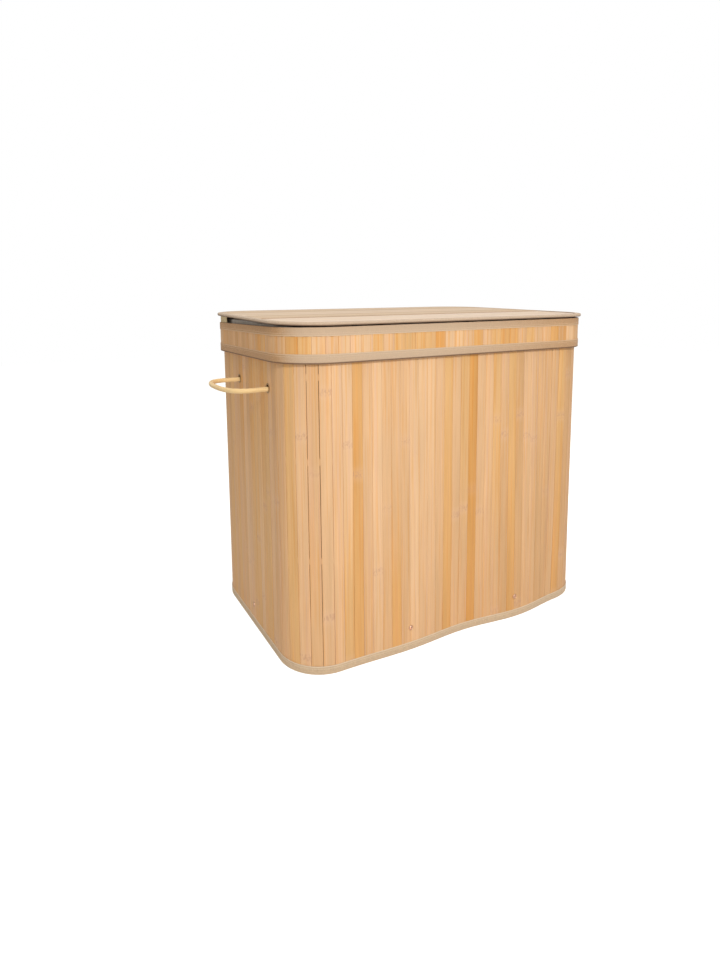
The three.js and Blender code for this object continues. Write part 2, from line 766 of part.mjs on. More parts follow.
function linerBag() {
  const shoulder = rimHeight - bagShoulderDrop;
  const mouth = rimHeight - cuffSeam;
  const skin = linerThickness;
  const cup = stack([
    bagRing(bagSideInset, bagFrontInset, bagEdge, bagFloor),
    bagRing(bagSideInset, bagFrontInset, bagEdge, shoulder),
    bagRing(linerInset, linerInset, bagEdge, mouth),
    bagRing(linerInset + skin, linerInset + skin, bagEdge + skin, mouth),
    bagRing(bagSideInset + skin, bagFrontInset + skin, bagEdge + skin, shoulder),
    bagRing(bagSideInset + skin, bagFrontInset + skin, bagEdge + skin, bagFloor + skin),
  ]);
  const cuff = sweep(halfStations(), [
    [cuffOuter, rimHeight - cuffDrop], [cuffOuter, cuffTop], [-linerInset - skin, cuffTop],
    [-linerInset - skin, mouth - skin], [-linerInset, mouth - skin], [-linerInset, cuffTop - skin],
    [cuffInner, cuffTop - skin], [cuffInner, rimHeight - cuffDrop],
  ], false);
  return join(cup, cuff);
}

function addLiners() {
  const bag = linerBag();
  addPiece('liner_bag_left', bag, 'liner');
  addPiece('liner_bag_right', bag.clone().rotateZ(Math.PI), 'liner');
  const owners = ['right_front', 'left_front', 'right_back', 'left_back'];
  strapSpotShares.forEach((share, i) => {
    addPiece(`liner_strap_${owners[i]}`, strap(share * bodyDepth), 'liner');
  });
}

// A touch-fastened band round the divider rod that a bag's inner edge hangs from
function strap(y) {
  const bore = rodDiameter / 2 + seatGap;
  const low = rodHeight - strapLength;
  const band = (radius, Kind) => {
    const path = new Kind();
    path.absarc(0, rodHeight, radius, 0, Math.PI, false);
    path.absarc(0, low, radius, Math.PI, 2 * Math.PI, false);
    return path;
  };
  const shape = band(bore + strapThickness, THREE.Shape);
  shape.holes.push(band(bore, THREE.Path));
  const ring = new THREE.ExtrudeGeometry(shape, {
    depth: strapWidth,
    bevelEnabled: false,
    curveSegments: rodSides / 2,
  });
  return ring.rotateX(Math.PI / 2).translate(0, y + strapWidth / 2, 0);
}

// Collar: slats between two tapes, with a wire in the upper hem that rests on the rim
function addCollar() {
  const longCount = Math.round(longStraight / collarSlatPitch);
  const shortCount = Math.round(shortStraight / collarSlatPitch);
  const foot = collarBottom + slatFoot;
  const head = collarBottom + collarHeight - slatFoot;
  for (const { name, stations } of ringRuns(longCount, shortCount)) {
    const run = slatRun(stations, collarSlatOuter, collarSlatThickness, foot, head);
    addPiece(`collar_${name}`, run, 'collarBamboo');
  }

  const backing = [
    [collarBackingInner, foot], [collarBackingInner + clothThickness, foot],
    [collarBackingInner + clothThickness, head], [collarBackingInner, head],
  ];
  addPiece('collar_backing_cloth', sweep(plainStations, backing, true), 'backingCloth');

  const edge = collarOuter - tapeThickness;
  const lowerTop = collarBottom + lowerTapeHeight;
  const lower = [
    [collarOuter, collarBottom], [collarOuter, lowerTop], [edge, lowerTop],
    [edge, collarBottom + tapeThickness],
    [collarTapeInner + tapeThickness, collarBottom + tapeThickness],
    [collarTapeInner + tapeThickness, lowerTop],
    [collarTapeInner, lowerTop], [collarTapeInner, collarBottom],
  ];
  addPiece('collar_lower_tape', sweep(plainStations, lower, true), 'tape');

  const upper = hemmedTape({
    outer: collarOuter,
    edge,
    top: collarTop,
    foot: collarTop - upperTapeHeight,
    inner: collarTapeInner,
    hemFloor: collarSeat,
    lip: collarWireCentre - collarWireDiameter / 2 - seatGap - tapeThickness,
    lipTop: collarWireHeight,
  });
  addPiece('collar_upper_tape', sweep(plainStations, upper, true), 'tape');
  addPiece('collar_wire', wireHoop(collarWireCentre, collarWireHeight, collarWireDiameter), 'steel');
}

// Underside of the closed lid at a place from front to back
function lidUnderside(y) {
  return lidBackZ + (y - lidBackY) * Math.tan(lidSlope);
}

// Cloth that joins the collar's back to the lid and returns round both back corners
function addHingeCloth() {
  const reachY = bodyDepth / 2 - cornerRadius;
  const back = plainStations.filter(({ place, out }) => (
    out.y > -Number.EPSILON && place.y > reachY - seatGap
  ));
  const ends = [1, -1].map((sign) => ({
    place: new THREE.Vector2((sign * bodyLength) / 2, reachY - hingeReturn),
    out: new THREE.Vector2(sign, 0),
  }));
  const outer = collarOuter - hingeInset;
  const inner = outer - hingeThickness;
  const low = collarTop + seatGap;
  const profile = ({ place }) => [
    [outer, low], [outer, lidUnderside(place.y) - seatGap],
    [inner, lidUnderside(place.y) - seatGap], [inner, low],
  ];
  addPiece('hinge_cloth', sweep([ends[0], ...back, ends[1]], profile, false), 'hingeCloth');
}

// Lid, drawn flat with its underside at height zero and its back edge on the Y axis' zero,
// then tilted onto the hinge
function addLid() {
  const lid = new THREE.Group();
  lid.position.set(0, lidBackY, lidBackZ);
  lid.rotation.x = lidSlope;
  hamper.add(lid);
  const skin = tapeThickness + seatGap;
  const plate = (low, high) => {
    const shape = new THREE.Shape(plainStations.map((spot) => offsetFrom(spot, lidOuter - skin)));
    const slab = new THREE.ExtrudeGeometry(shape, { depth: high - low, bevelEnabled: false });
    return slab.translate(0, -lidBackY, low);
  };
  const boardTop = skin + lidBoardThickness;
  const slatLow = boardTop + seatGap;
  const slatHigh = slatLow + lidSlatThickness;
  addPiece('lid_board', plate(skin, boardTop), 'board', lid);
  addPiece('lid_slats', lidSlats(plate(slatLow, slatHigh), slatHigh), 'lidBamboo', lid);

  const tapeEdge = lidOuter - lidTapeWidth;
  const fold = [
    [lidOuter, 0], [lidOuter, lidThickness],
    [tapeEdge, lidThickness], [tapeEdge, lidThickness - tapeThickness],
    [lidOuter - tapeThickness, lidThickness - tapeThickness], [lidOuter - tapeThickness, tapeThickness],
    [tapeEdge, tapeThickness], [tapeEdge, 0],
  ];
  const tape = sweep(plainStations, fold, true).translate(0, -lidBackY, 0);
  addPiece('lid_tape', tape, 'tape', lid);
}

// Grooves between the lid's slats, which run along its length
function lidSlats(slab, top) {
  const depth = lidBackY - lidFrontY;
  const length = bodyLength + 2 * (lidOuter + cutOverrun);
  const grooveDepth = jointDepth * grooveShare(lidOuter);
  const count = Math.round(depth / lidSlatPitch);
  const grooves = [];
  for (let i = 1; i < count; i += 1) {
    const groove = new THREE.BoxGeometry(length, slatJoint, 2 * grooveDepth);
    grooves.push(groove.translate(0, -(depth * i) / count, top));
  }
  return cut(slab, ...grooves);
}

// Eyelets, the knotted rope ends inside the wall, and the rope loops outside it
const ropeRadius = ropeDiameter / 2;
const ropeHeight = handleHeight - eyeletBore / 2 + ropeRadius + seatGap;
const ropePivot = tapeOuter + eyeletWall + ropeRadius;

function eyelet(spot) {
  const bore = eyeletBore / 2;
  const rim = bore + eyeletWall + eyeletFlange;
  const inside = backingInner - seatGap;
  const profile = [
    [bore, inside - eyeletWall], [rim, inside - eyeletWall], [rim, inside], [bore + eyeletWall, inside],
    [bore + eyeletWall, seatGap], [rim, seatGap], [rim, seatGap + eyeletWall], [bore, seatGap + eyeletWall],
    [bore, inside - eyeletWall],
  ].map(([radius, height]) => new THREE.Vector2(radius, height));
  const ring = new THREE.LatheGeometry(profile, eyeletSides);
  return ontoWall(ring.rotateZ(-Math.PI / 2), spot, handleHeight);
}

// The rope's end inside the hamper: a stub through the eyelet and a round knot behind it
function ropeKnot(spot) {
  const wallFace = backingInner - 2 * seatGap - eyeletWall;
  const middle = wallFace - knotLength / 2;
  const profile = [];
  for (let i = 0; i <= knotSteps; i += 1) {
    const angle = Math.PI * (i / (knotSteps + 1));
    profile.push(new THREE.Vector2(
      (knotDiameter / 2) * Math.sin(angle),
      middle - (knotLength / 2) * Math.cos(angle),
    ));
  }
  const stubFace = ropePivot - ropeRadius - seatGap;
  profile.push(new THREE.Vector2(ropeRadius, wallFace));
  profile.push(new THREE.Vector2(ropeRadius, stubFace));
  profile.push(new THREE.Vector2(0, stubFace));
  return ontoWall(new THREE.LatheGeometry(profile, ropeSides).rotateZ(-Math.PI / 2), spot, ropeHeight);
}

function ropeLoop(sign) {
  const start = bodyLength / 2 + ropePivot;
  const reach = handleReach - ropeRadius - ropePivot;
  const points = loopShares.map(([outShare, alongShare]) => new THREE.Vector3(
    sign * (start + reach * outShare),
    handleMiddle + (handleSpread / 2) * alongShare,
    ropeHeight,
  ));
  const path = new THREE.CatmullRomCurve3(points);
  const section = new THREE.Shape();
  section.absarc(0, 0, ropeRadius, 0, 2 * Math.PI, false);
  const tube = new THREE.ExtrudeGeometry(section, {
    steps: ropeSteps,
    curveSegments: ropeSides / 2,
    extrudePath: path,
  });
  const ends = [points[0], points[points.length - 1]].map((point) => (
    new THREE.SphereGeometry(ropeRadius, ropeSides, ropeSides / 2).translate(point.x, point.y, point.z)
  ));
  return join(tube, ...ends);
}

function addHandles() {
  for (const { side, sign } of handleSides) {
    for (const { end, y } of handleEnds) {
      addPiece(`eyelet_${side}_${end}`, eyelet(eyeletSpot(sign, y)), 'steel');
      addPiece(`rope_knot_${side}_${end}`, ropeKnot(eyeletSpot(sign, y)), 'rope');
    }
    addPiece(`rope_handle_${side}`, ropeLoop(sign), 'rope');
  }
}

addCurtain();
addBaseTape();
addRim();
addDividerRod();
addBase();
addLiners();
addCollar();
addHingeCloth();
addLid();
addHandles();

export default hamper;
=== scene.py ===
"""Looks of a two-bin bamboo laundry hamper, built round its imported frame."""

import logging
import math
import random
from collections.abc import Sequence
from dataclasses import dataclass, field
from enum import Enum
from functools import reduce
from itertools import accumulate

import bmesh
import bpy
from mathutils import Matrix, Vector, noise

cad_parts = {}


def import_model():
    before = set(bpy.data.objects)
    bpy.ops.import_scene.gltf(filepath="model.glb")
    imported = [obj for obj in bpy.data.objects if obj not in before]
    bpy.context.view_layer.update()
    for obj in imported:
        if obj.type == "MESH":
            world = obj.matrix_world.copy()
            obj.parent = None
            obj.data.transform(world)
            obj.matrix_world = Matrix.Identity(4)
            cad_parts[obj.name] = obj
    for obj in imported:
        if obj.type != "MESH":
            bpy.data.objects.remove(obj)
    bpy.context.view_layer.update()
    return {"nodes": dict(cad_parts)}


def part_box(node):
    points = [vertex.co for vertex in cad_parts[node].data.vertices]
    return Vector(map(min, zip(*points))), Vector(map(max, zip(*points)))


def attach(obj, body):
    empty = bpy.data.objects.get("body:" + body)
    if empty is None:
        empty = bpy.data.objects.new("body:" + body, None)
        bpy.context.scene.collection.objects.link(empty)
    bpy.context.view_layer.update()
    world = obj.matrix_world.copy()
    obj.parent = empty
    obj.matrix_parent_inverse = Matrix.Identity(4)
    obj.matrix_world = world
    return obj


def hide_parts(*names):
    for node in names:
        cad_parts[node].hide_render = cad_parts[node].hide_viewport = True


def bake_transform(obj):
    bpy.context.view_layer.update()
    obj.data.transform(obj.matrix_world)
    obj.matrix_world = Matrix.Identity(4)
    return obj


LOG = logging.getLogger("hamper")

Colour = tuple[float, float, float, float]
Pair = tuple[float, float]
Point = tuple[float, float, float]
Socket = bpy.types.NodeSocket
Value = Socket | float | Sequence[float]
WHITE: Colour = (1.0, 1.0, 1.0, 1.0)
BLACK: Colour = (0.0, 0.0, 0.0, 1.0)


def shade(red: int, green: int, blue: int) -> Colour:
    """Turn a colour as seen on a screen into the linear colour of a material.

    Args:
        red: Red from 0 to 255.
        green: Green from 0 to 255.
        blue: Blue from 0 to 255.

    Returns:
        The linear colour with full alpha.
    """
    def linear(value: int) -> float:
        """Undo the screen's curve."""
        share = value / 255
        return share / 12.92 if share <= 0.04045 else ((share + 0.055) / 1.055) ** 2.4
    return (linear(red), linear(green), linear(blue), 1.0)


class Tone(Enum):
    """Colours that split bamboo has from one slat to the next."""

    PALE = shade(238, 196, 151)
    PEACH = shade(233, 189, 143)
    BEIGE = shade(228, 183, 135)
    HONEY = shade(232, 184, 125)
    TAN = shade(221, 175, 125)
    AMBER = shade(228, 174, 109)
    DEEP_AMBER = shade(223, 164, 93)
    LID_PINK = shade(236, 214, 192)
    LID_PALE = shade(233, 211, 190)
    LID_BEIGE = shade(225, 200, 172)
    LID_TAN = shade(213, 185, 153)
    LID_SEAM = shade(164, 126, 88)


class Body(Enum):
    """Bodies of the frame that the pieces ride on."""

    BASKET = "basket"
    COLLAR = "collar"
    LID = "lid"


class Slot(Enum):
    """Finishes that the pieces carry, by the names of their slots."""

    BAMBOO = "bamboo"
    COLLAR_BAMBOO = "collar_bamboo"
    LID_BAMBOO = "lid_bamboo"
    TAPE = "tape"
    HINGE_CLOTH = "hinge_cloth"
    ROPE = "rope"
    STEEL = "steel"
    LINER = "liner"


@dataclass(frozen=True)
class Station:
    """A place on the wall's outline, seen from above, and the way out from it."""

    x: float
    y: float
    out_x: float
    out_y: float

    def at(self, offset: float, z: float) -> Vector:
        """Return the point at an offset out from the wall and a height."""
        return Vector((self.x + self.out_x * offset, self.y + self.out_y * offset, z))


@dataclass(frozen=True)
class Outline:
    """Rounded rectangle of the wall's outer face, and how its loose base line waves."""

    length: float = 0.670
    depth: float = 0.430
    radius: float = 0.080
    rim: float = 0.584
    wave: float = 0.0042
    wave_growth: float = 0.0135
    wave_length: float = 0.268

    @property
    def half_length(self) -> float:
        """Return half of the wall's length."""
        return self.length / 2

    @property
    def half_depth(self) -> float:
        """Return half of the wall's depth."""
        return self.depth / 2

    @property
    def reach_x(self) -> float:
        """Return how far the straight front reaches from the middle."""
        return self.half_length - self.radius

    @property
    def reach_y(self) -> float:
        """Return how far the straight sides reach from the middle."""
        return self.half_depth - self.radius

    def stations(
        self, long_steps: int, short_steps: int, corner_steps: int, shift: float = 0.0,
    ) -> list[Station]:
        """Walk round the outline, counter-clockwise from the front's left end.

        Args:
            long_steps: Steps along the front and the back.
            short_steps: Steps along the left and the right.
            corner_steps: Steps round each corner.
            shift: Length that all stations move along by.

        Returns:
            The stations, with the first one not repeated at the end.
        """
        found, start = [], 0.0
        for length, steps in zip(self.stretches(), (long_steps, corner_steps, short_steps, corner_steps) * 2):
            found += [self.at_length(start + shift + length * step / steps) for step in range(steps)]
            start += length
        return found

    def stretches(self) -> list[float]:
        """Return the lengths of the straights and arcs, from the front on."""
        arc = math.pi / 2 * self.radius
        return [self.length - 2 * self.radius, arc, self.depth - 2 * self.radius, arc] * 2

    def at_length(self, along: float) -> Station:
        """Find the station at a length round the outline.

        Args:
            along: Length from the front's left end, counter-clockwise.

        Returns:
            The station.
        """
        x, y = self.reach_x, self.reach_y
        corners = [(x, -y), (x, y), (-x, y), (-x, -y)]
        left = along % sum(self.stretches())
        for i, length in enumerate(self.stretches()):
            side = i // 2
            turn = math.pi / 2 * (side - 1)
            if left < length or i == 7:
                break
            left -= length
        if i % 2:
            return self.beside(*corners[side], turn + left / self.radius)
        share = left / length
        spot = [a + (b - a) * share for a, b in zip(corners[side - 1], corners[side])]
        return self.beside(*spot, turn)

    def beside(self, x: float, y: float, angle: float) -> Station:
        """Return the station one corner radius away from a point, at an angle."""
        out_x, out_y = math.cos(angle), math.sin(angle)
        return Station(x + self.radius * out_x, y + self.radius * out_y, out_x, out_y)

    def sway(self, point: Vector) -> Vector:
        """Move a point in or out with the curtain's wavy base line.

        Args:
            point: A point of the straight curtain.

        Returns:
            The point of the wavy one.
        """
        inward = (self.wave + self.wave_growth * point.x) * math.cos(2 * math.pi * point.x / self.wave_length)
        beyond = max(0.0, abs(point.x) - self.reach_x) / self.radius
        fade = math.sqrt(max(0.0, 1 - beyond * beyond)) * max(0.0, 1 - point.z / self.rim)
        return Vector((point.x, point.y - math.copysign(1, point.y) * inward * fade, point.z))


OUTLINE = Outline()
RUNS = (
    "front_slats", "corner_slats_front_right", "right_slats", "corner_slats_back_right",
    "back_slats", "corner_slats_back_left", "left_slats", "corner_slats_front_left",
)
EYELET_HEIGHT = 0.485
EYELET_SPOTS = (-0.1075, 0.0475)
LID_BACK = (0.22565, 0.60735)
LID_SLOPE = 0.031010
SEED_STEP = 0.618


def under_lid(y: float) -> float:
    """Return the height of the closed lid's underside at a place from front to back."""
    return LID_BACK[1] + (y - LID_BACK[0]) * math.tan(LID_SLOPE)


def placed(name: str, data: bpy.types.ID) -> bpy.types.Object:
    """Make an object and link it to the scene.

    Args:
        name: Name of the object.
        data: Its mesh, camera or lamp.

    Returns:
        The new object.
    """
    item = bpy.data.objects.new(name, data)
    bpy.context.scene.collection.objects.link(item)
    return item


def shaped(name: str, shell: bmesh.types.BMesh) -> bpy.types.Object:
    """Turn a finished shell into an object.

    Args:
        name: Name of the object.
        shell: The shell, which is freed.

    Returns:
        The new object.
    """
    mesh = bpy.data.meshes.new(name)
    shell.to_mesh(mesh)
    shell.free()
    return placed(name, mesh)


def face_outward(mesh: bpy.types.Mesh, merge: float = 0.0) -> None:
    """Turn all faces of a mesh to one side.

    Args:
        mesh: The mesh.
        merge: Distance under which points are joined first, or zero for none.
    """
    shell = bmesh.new()
    shell.from_mesh(mesh)
    if merge:
        bmesh.ops.remove_doubles(shell, verts=shell.verts, dist=merge)
    bmesh.ops.recalc_face_normals(shell, faces=shell.faces)
    shell.to_mesh(mesh)
    shell.free()


def thicken(piece: bpy.types.Object, thickness: float) -> None:
    """Give a piece of single cloth its thickness, half to each side."""
    skin = piece.modifiers.new("cloth", "SOLIDIFY")
    skin.thickness, skin.offset = thickness, 0.0


def cut_away(piece: bpy.types.Object, cutters: Sequence[bpy.types.Object]) -> None:
    """Cut shapes out of a piece, then remove the shapes.

    Args:
        piece: The piece.
        cutters: The shapes.
    """
    for cutter in cutters:
        step = piece.modifiers.new("cut", "BOOLEAN")
        step.object, step.operation, step.solver = cutter, "DIFFERENCE", "EXACT"
    graph = bpy.context.evaluated_depsgraph_get()
    mesh = bpy.data.meshes.new_from_object(piece.evaluated_get(graph), depsgraph=graph)
    piece.modifiers.clear()
    piece.data = mesh
    for cutter in cutters:
        bpy.data.objects.remove(cutter)


def settle(piece: bpy.types.Object, body: Body, slot: Slot, *nodes: str) -> None:
    """Let a piece ride on a body and stand for nodes of the frame.

    Args:
        piece: The piece.
        body: The body that it rides on.
        slot: Its finish's slot; not used.
        *nodes: Names of the nodes that it stands for.
    """
    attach(piece, body.value)
    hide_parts(*nodes)
    LOG.info("%s rides on %s", piece.name, body.value)


def lengths_along(path: Sequence) -> list[float]:
    """Return the length walked from the start of a path to each of its points."""
    return [0.0, *accumulate((Vector(b) - Vector(a)).length for a, b in zip(path, path[1:]))]


def turns(sides: int) -> list[float]:
    """Return the angles of a circle's steps, from zero, with the full turn left out."""
    return [2 * math.pi * i / sides for i in range(sides)]


def eased(value: float, low: float, high: float) -> float:
    """Return a smooth step from zero at low to one at high."""
    share = min(max((value - low) / (high - low), 0.0), 1.0)
    return share * share * (3 - 2 * share)


def rounded(path: Sequence[Pair], radius: float, steps: int = 4) -> list[Pair]:
    """Round the inner corners of a flat path.

    Args:
        path: Points of the path, in metres.
        radius: Radius at each corner, or less where a side is short.
        steps: Steps round each corner.

    Returns:
        The path with arcs for corners.
    """
    found = [path[0]]
    for before, corner, after in zip(path, path[1:], path[2:]):
        here = Vector(corner)
        back, ahead = Vector(before) - here, Vector(after) - here
        reach = min(radius, back.length * 0.49, ahead.length * 0.49)
        start, end = here + back.normalized() * reach, here + ahead.normalized() * reach
        for step in range(steps + 1):
            share = step / steps
            bent = start.lerp(here, share).lerp(here.lerp(end, share), share)
            found.append((bent.x, bent.y))
    found.append(path[-1])
    return found


def thickened(path: Sequence[Pair], thickness: float) -> tuple[list[Pair], list[float]]:
    """Give a flat path a thickness, as a closed ring.

    Args:
        path: Points of the path, in metres.
        thickness: Thickness of the strip.

    Returns:
        The ring's points, and the length along the path at each of them with the first one repeated.
    """
    sides: tuple[list, list] = ([], [])
    for i, (x, y) in enumerate(path):
        before, after = Vector(path[max(i - 1, 0)]), Vector(path[min(i + 1, len(path) - 1)])
        way = (after - before).normalized()
        for side, sign in zip(sides, (1, -1)):
            side.append((x + way.y * sign * thickness / 2, y - way.x * sign * thickness / 2))
    lengths = lengths_along(path)
    return sides[0] + sides[1][::-1], [*lengths, *lengths[::-1], lengths[0]]


class Patch:
    """Points, faces and surface places of a mesh while it is being built."""

    def __init__(self) -> None:
        """Start with nothing."""
        self.points: list[Vector] = []
        self.faces: list[tuple[int, ...]] = []
        self.places: list[Sequence[Pair]] = []
        self.seeds: list[float] = []
        self.tones: list[Sequence[Colour]] = []

    def add_face(
        self, corners: Sequence[int], places: Sequence[Pair], seed: float = 0.0, tones: Sequence[Colour] = (),
    ) -> None:
        """Add one face.

        Args:
            corners: Its points by index.
            places: Its surface place at each corner, in metres.
            seed: Number that tells its material from its neighbours'.
            tones: Base colour at each corner, or nothing for white.
        """
        self.faces.append(tuple(corners))
        self.places.append(places)
        self.seeds.append(seed)
        self.tones.append(tones or [WHITE] * len(corners))

    def grid(
        self, rows: Sequence[Sequence[Vector]], along: Sequence[float], across: Sequence[float],
        seed: float = 0.0, tones: Sequence[Colour] = (),
    ) -> int:
        """Add a grid of faces. A grid closes on itself where it has one more place than points.

        Args:
            rows: Rows of points, all of one length.
            along: The first surface place of each row, in metres.
            across: The second surface place of each column, in metres.
            seed: Number that tells this grid's material from its neighbours'.
            tones: Base colour at each place along, or nothing for white.

        Returns:
            The index of the grid's first point.
        """
        first = len(self.points)
        count, width = len(rows), len(rows[0])
        tones = tones or [WHITE] * len(along)
        for row in rows:
            self.points.extend(row)
        for i in range(len(along) - 1):
            below, above = first + i * width, first + (i + 1) % count * width
            for j in range(len(across) - 1):
                right = (j + 1) % width
                places = [
                    (along[i], across[j]), (along[i], across[j + 1]),
                    (along[i + 1], across[j + 1]), (along[i + 1], across[j]),
                ]
                corners = (below + j, below + right, above + right, above + j)
                self.add_face(corners, places, seed, (tones[i], tones[i], tones[i + 1], tones[i + 1]))
        return first

    def bar(
        self, rows: Sequence[Sequence[Vector]], along: Sequence[float], across: Sequence[float],
        seed: float = 0.0, tones: Sequence[Colour] = (),
    ) -> None:
        """Add a bar: a grid that closes round its length, with a face at each end.

        Args:
            rows: Sections of the bar as rings of points.
            along: The place along of each section, in metres.
            across: The place round a section of each point, with one more for the first one again.
            seed: Number that tells this bar's material from its neighbours'.
            tones: Base colour at each section, or nothing for white.
        """
        first = self.grid(rows, along, across, seed, tones)
        width = len(rows[0])
        places = [(0.0, place) for place in across[:-1]]
        for row, end in ((0, 0), (len(rows) - 1, -1)):
            corners = [first + row * width + j for j in range(width)]
            self.add_face(corners, places, seed, [tones[end]] * width if tones else ())

    def build(self, name: str, material: bpy.types.Material, crease: float = 50.0) -> bpy.types.Object:
        """Make the mesh object.

        Args:
            name: Name of the piece.
            material: Its finish.
            crease: Angle in degrees above which an edge stays sharp.

        Returns:
            The new object, linked to the scene.
        """
        mesh = bpy.data.meshes.new(name)
        mesh.from_pydata(self.points, [], self.faces)
        layer = mesh.uv_layers.new(name="place")
        layer.data.foreach_set("uv", [value for face in self.places for place in face for value in place])
        mesh.attributes.new("seed", "FLOAT", "FACE").data.foreach_set("value", self.seeds)
        tones = mesh.attributes.new("tone", "FLOAT_COLOR", "CORNER")
        tones.data.foreach_set("color", [value for face in self.tones for tone in face for value in tone])
        face_outward(mesh)
        mesh.shade_smooth()
        mesh.set_sharp_from_angle(angle=math.radians(crease))
        mesh.materials.append(material)
        return placed(name, mesh)


def sweep(
    patch: Patch, stations: Sequence[Station], ring: Sequence[Pair], places: Sequence[float],
    wavy: bool = False,
) -> None:
    """Sweep a closed ring of offsets and heights once round the wall.

    Args:
        patch: Patch that the faces go to.
        stations: Stations to sweep along.
        ring: Offsets out from the wall and heights.
        places: Surface place of each ring point, with the first one repeated.
        wavy: Whether it follows the wavy base line.
    """
    rows = [[station.at(offset, z) for offset, z in ring] for station in stations]
    if wavy:
        rows = [[OUTLINE.sway(point) for point in row] for row in rows]
    spots = [station.at(0, 0) for station in stations]
    patch.grid(rows, lengths_along([*spots, spots[0]]), places)


def lathe(profile: Sequence[Pair], place: Matrix, sides: int) -> Patch:
    """Turn a profile of radii and heights round its own axis.

    Args:
        profile: Radii and heights.
        place: Where the turned piece goes, with its axis along the matrix's Z.
        sides: Steps round the axis.

    Returns:
        The turned patch.
    """
    patch = Patch()
    rows = [
        [place @ Vector((radius * math.cos(turn), radius * math.sin(turn), z)) for radius, z in profile]
        for turn in turns(sides)
    ]
    girth = max(radius for radius, _ in profile)
    patch.grid(rows, [girth * turn for turn in (*turns(sides), 2 * math.pi)], lengths_along(profile))
    return patch


def on_wall(x: float, y: float, z: float, out: Pair) -> Matrix:
    """Return a place on the wall whose Z axis points out of it."""
    return Matrix.Translation((x, y, z)) @ Vector((*out, 0)).to_track_quat("Z", "Y").to_matrix().to_4x4()


class Nodes:
    """Adds nodes to a tree and links them."""

    def __init__(self, tree: bpy.types.NodeTree) -> None:
        """Work in a tree."""
        self.tree = tree

    def add(self, kind: str, inputs: dict | None = None, **settings: object) -> bpy.types.Node:
        """Add a node.

        Args:
            kind: Type name of the node.
            inputs: Values or sockets by input name or index.
            **settings: Properties of the node.

        Returns:
            The node.
        """
        node = self.tree.nodes.new(kind)
        for key, value in settings.items():
            setattr(node, key, value)
        for key, value in (inputs or {}).items():
            self.feed(node.inputs[key], value)
        return node

    def feed(self, socket: Socket, value: Value) -> None:
        """Link a socket to an input, or set its value.

        Args:
            socket: The input.
            value: The socket or value.
        """
        if isinstance(value, Socket):
            self.tree.links.new(value, socket)
        else:
            socket.default_value = value

    def math(self, operation: str, *values: Value, clamp: bool = False) -> Socket:
        """Return the result of a sum on numbers or sockets."""
        inputs = dict(enumerate(values))
        return self.add("ShaderNodeMath", inputs, operation=operation, use_clamp=clamp).outputs[0]

    def times(self, *values: Value) -> Socket:
        """Return the product of numbers and sockets."""
        return reduce(lambda a, b: self.math("MULTIPLY", a, b), values)

    def plus(self, first: Value, second: Value) -> Socket:
        """Return the sum of two values."""
        return self.math("ADD", first, second)

    def minus(self, first: Value, second: Value) -> Socket:
        """Return the first value less the second."""
        return self.math("SUBTRACT", first, second)

    def over(self, first: Value, second: Value) -> Socket:
        """Return the first value divided by the second."""
        return self.math("DIVIDE", first, second)

    def scaled(self, value: Value, slope: Value, start: Value, clamp: bool = False) -> Socket:
        """Return a value times a slope, plus a start."""
        return self.math("MULTIPLY_ADD", value, slope, start, clamp=clamp)

    def part(self, value: Value) -> Socket:
        """Return what a value has past its whole number."""
        return self.math("FRACT", value)

    def apart(self, first: Value, second: Value) -> Socket:
        """Return how far apart two values are."""
        return self.math("ABSOLUTE", self.minus(first, second))

    def around(self, value: Value, size: Value) -> Socket:
        """Return a factor of one plus or minus a share of a noise's swing."""
        return self.plus(self.times(self.minus(value, 0.5), size), 1.0)

    def ramp(self, value: Value, low: float, high: float) -> Socket:
        """Return a smooth step from zero at low to one at high."""
        inputs = {"Value": value, "From Min": low, "From Max": high}
        return self.add("ShaderNodeMapRange", inputs, interpolation_type="SMOOTHSTEP").outputs[0]

    def vector(self, x: Value, y: Value, z: Value) -> Socket:
        """Return a vector of three numbers or sockets."""
        return self.add("ShaderNodeCombineXYZ", {0: x, 1: y, 2: z}).outputs[0]

    def split(self, vector: Socket) -> tuple[Socket, Socket, Socket]:
        """Return the three numbers of a vector."""
        return tuple(self.add("ShaderNodeSeparateXYZ", {0: vector}).outputs)

    def noise(
        self, vector: Socket, scale: float = 1.0, detail: float = 2.0, roughness: float = 0.5,
    ) -> Socket:
        """Return soft noise around one half."""
        inputs = {"Vector": vector, "Scale": scale, "Detail": detail, "Roughness": roughness}
        return self.add("ShaderNodeTexNoise", inputs).outputs["Fac"]

    def mix(self, share: Value, first: Value, second: Value, kind: str = "MIX") -> Socket:
        """Return the mix of two colours."""
        inputs = {0: share, 6: first, 7: second}
        return self.add("ShaderNodeMix", inputs, data_type="RGBA", blend_type=kind).outputs[2]

    def stained(self, colour: Value, mask: Value, share: Value, stain: Value) -> Socket:
        """Return a colour with a share of a stain over it, where a mask is one."""
        return self.mix(self.times(mask, share), colour, stain)

    def tinted(self, colour: Value, tint: Value) -> Socket:
        """Return a colour times another."""
        return self.mix(1.0, colour, tint, "MULTIPLY")

    def darkened(self, colour: Value, factor: Value) -> Socket:
        """Return a colour times a number."""
        return self.tinted(colour, self.vector(factor, factor, factor))


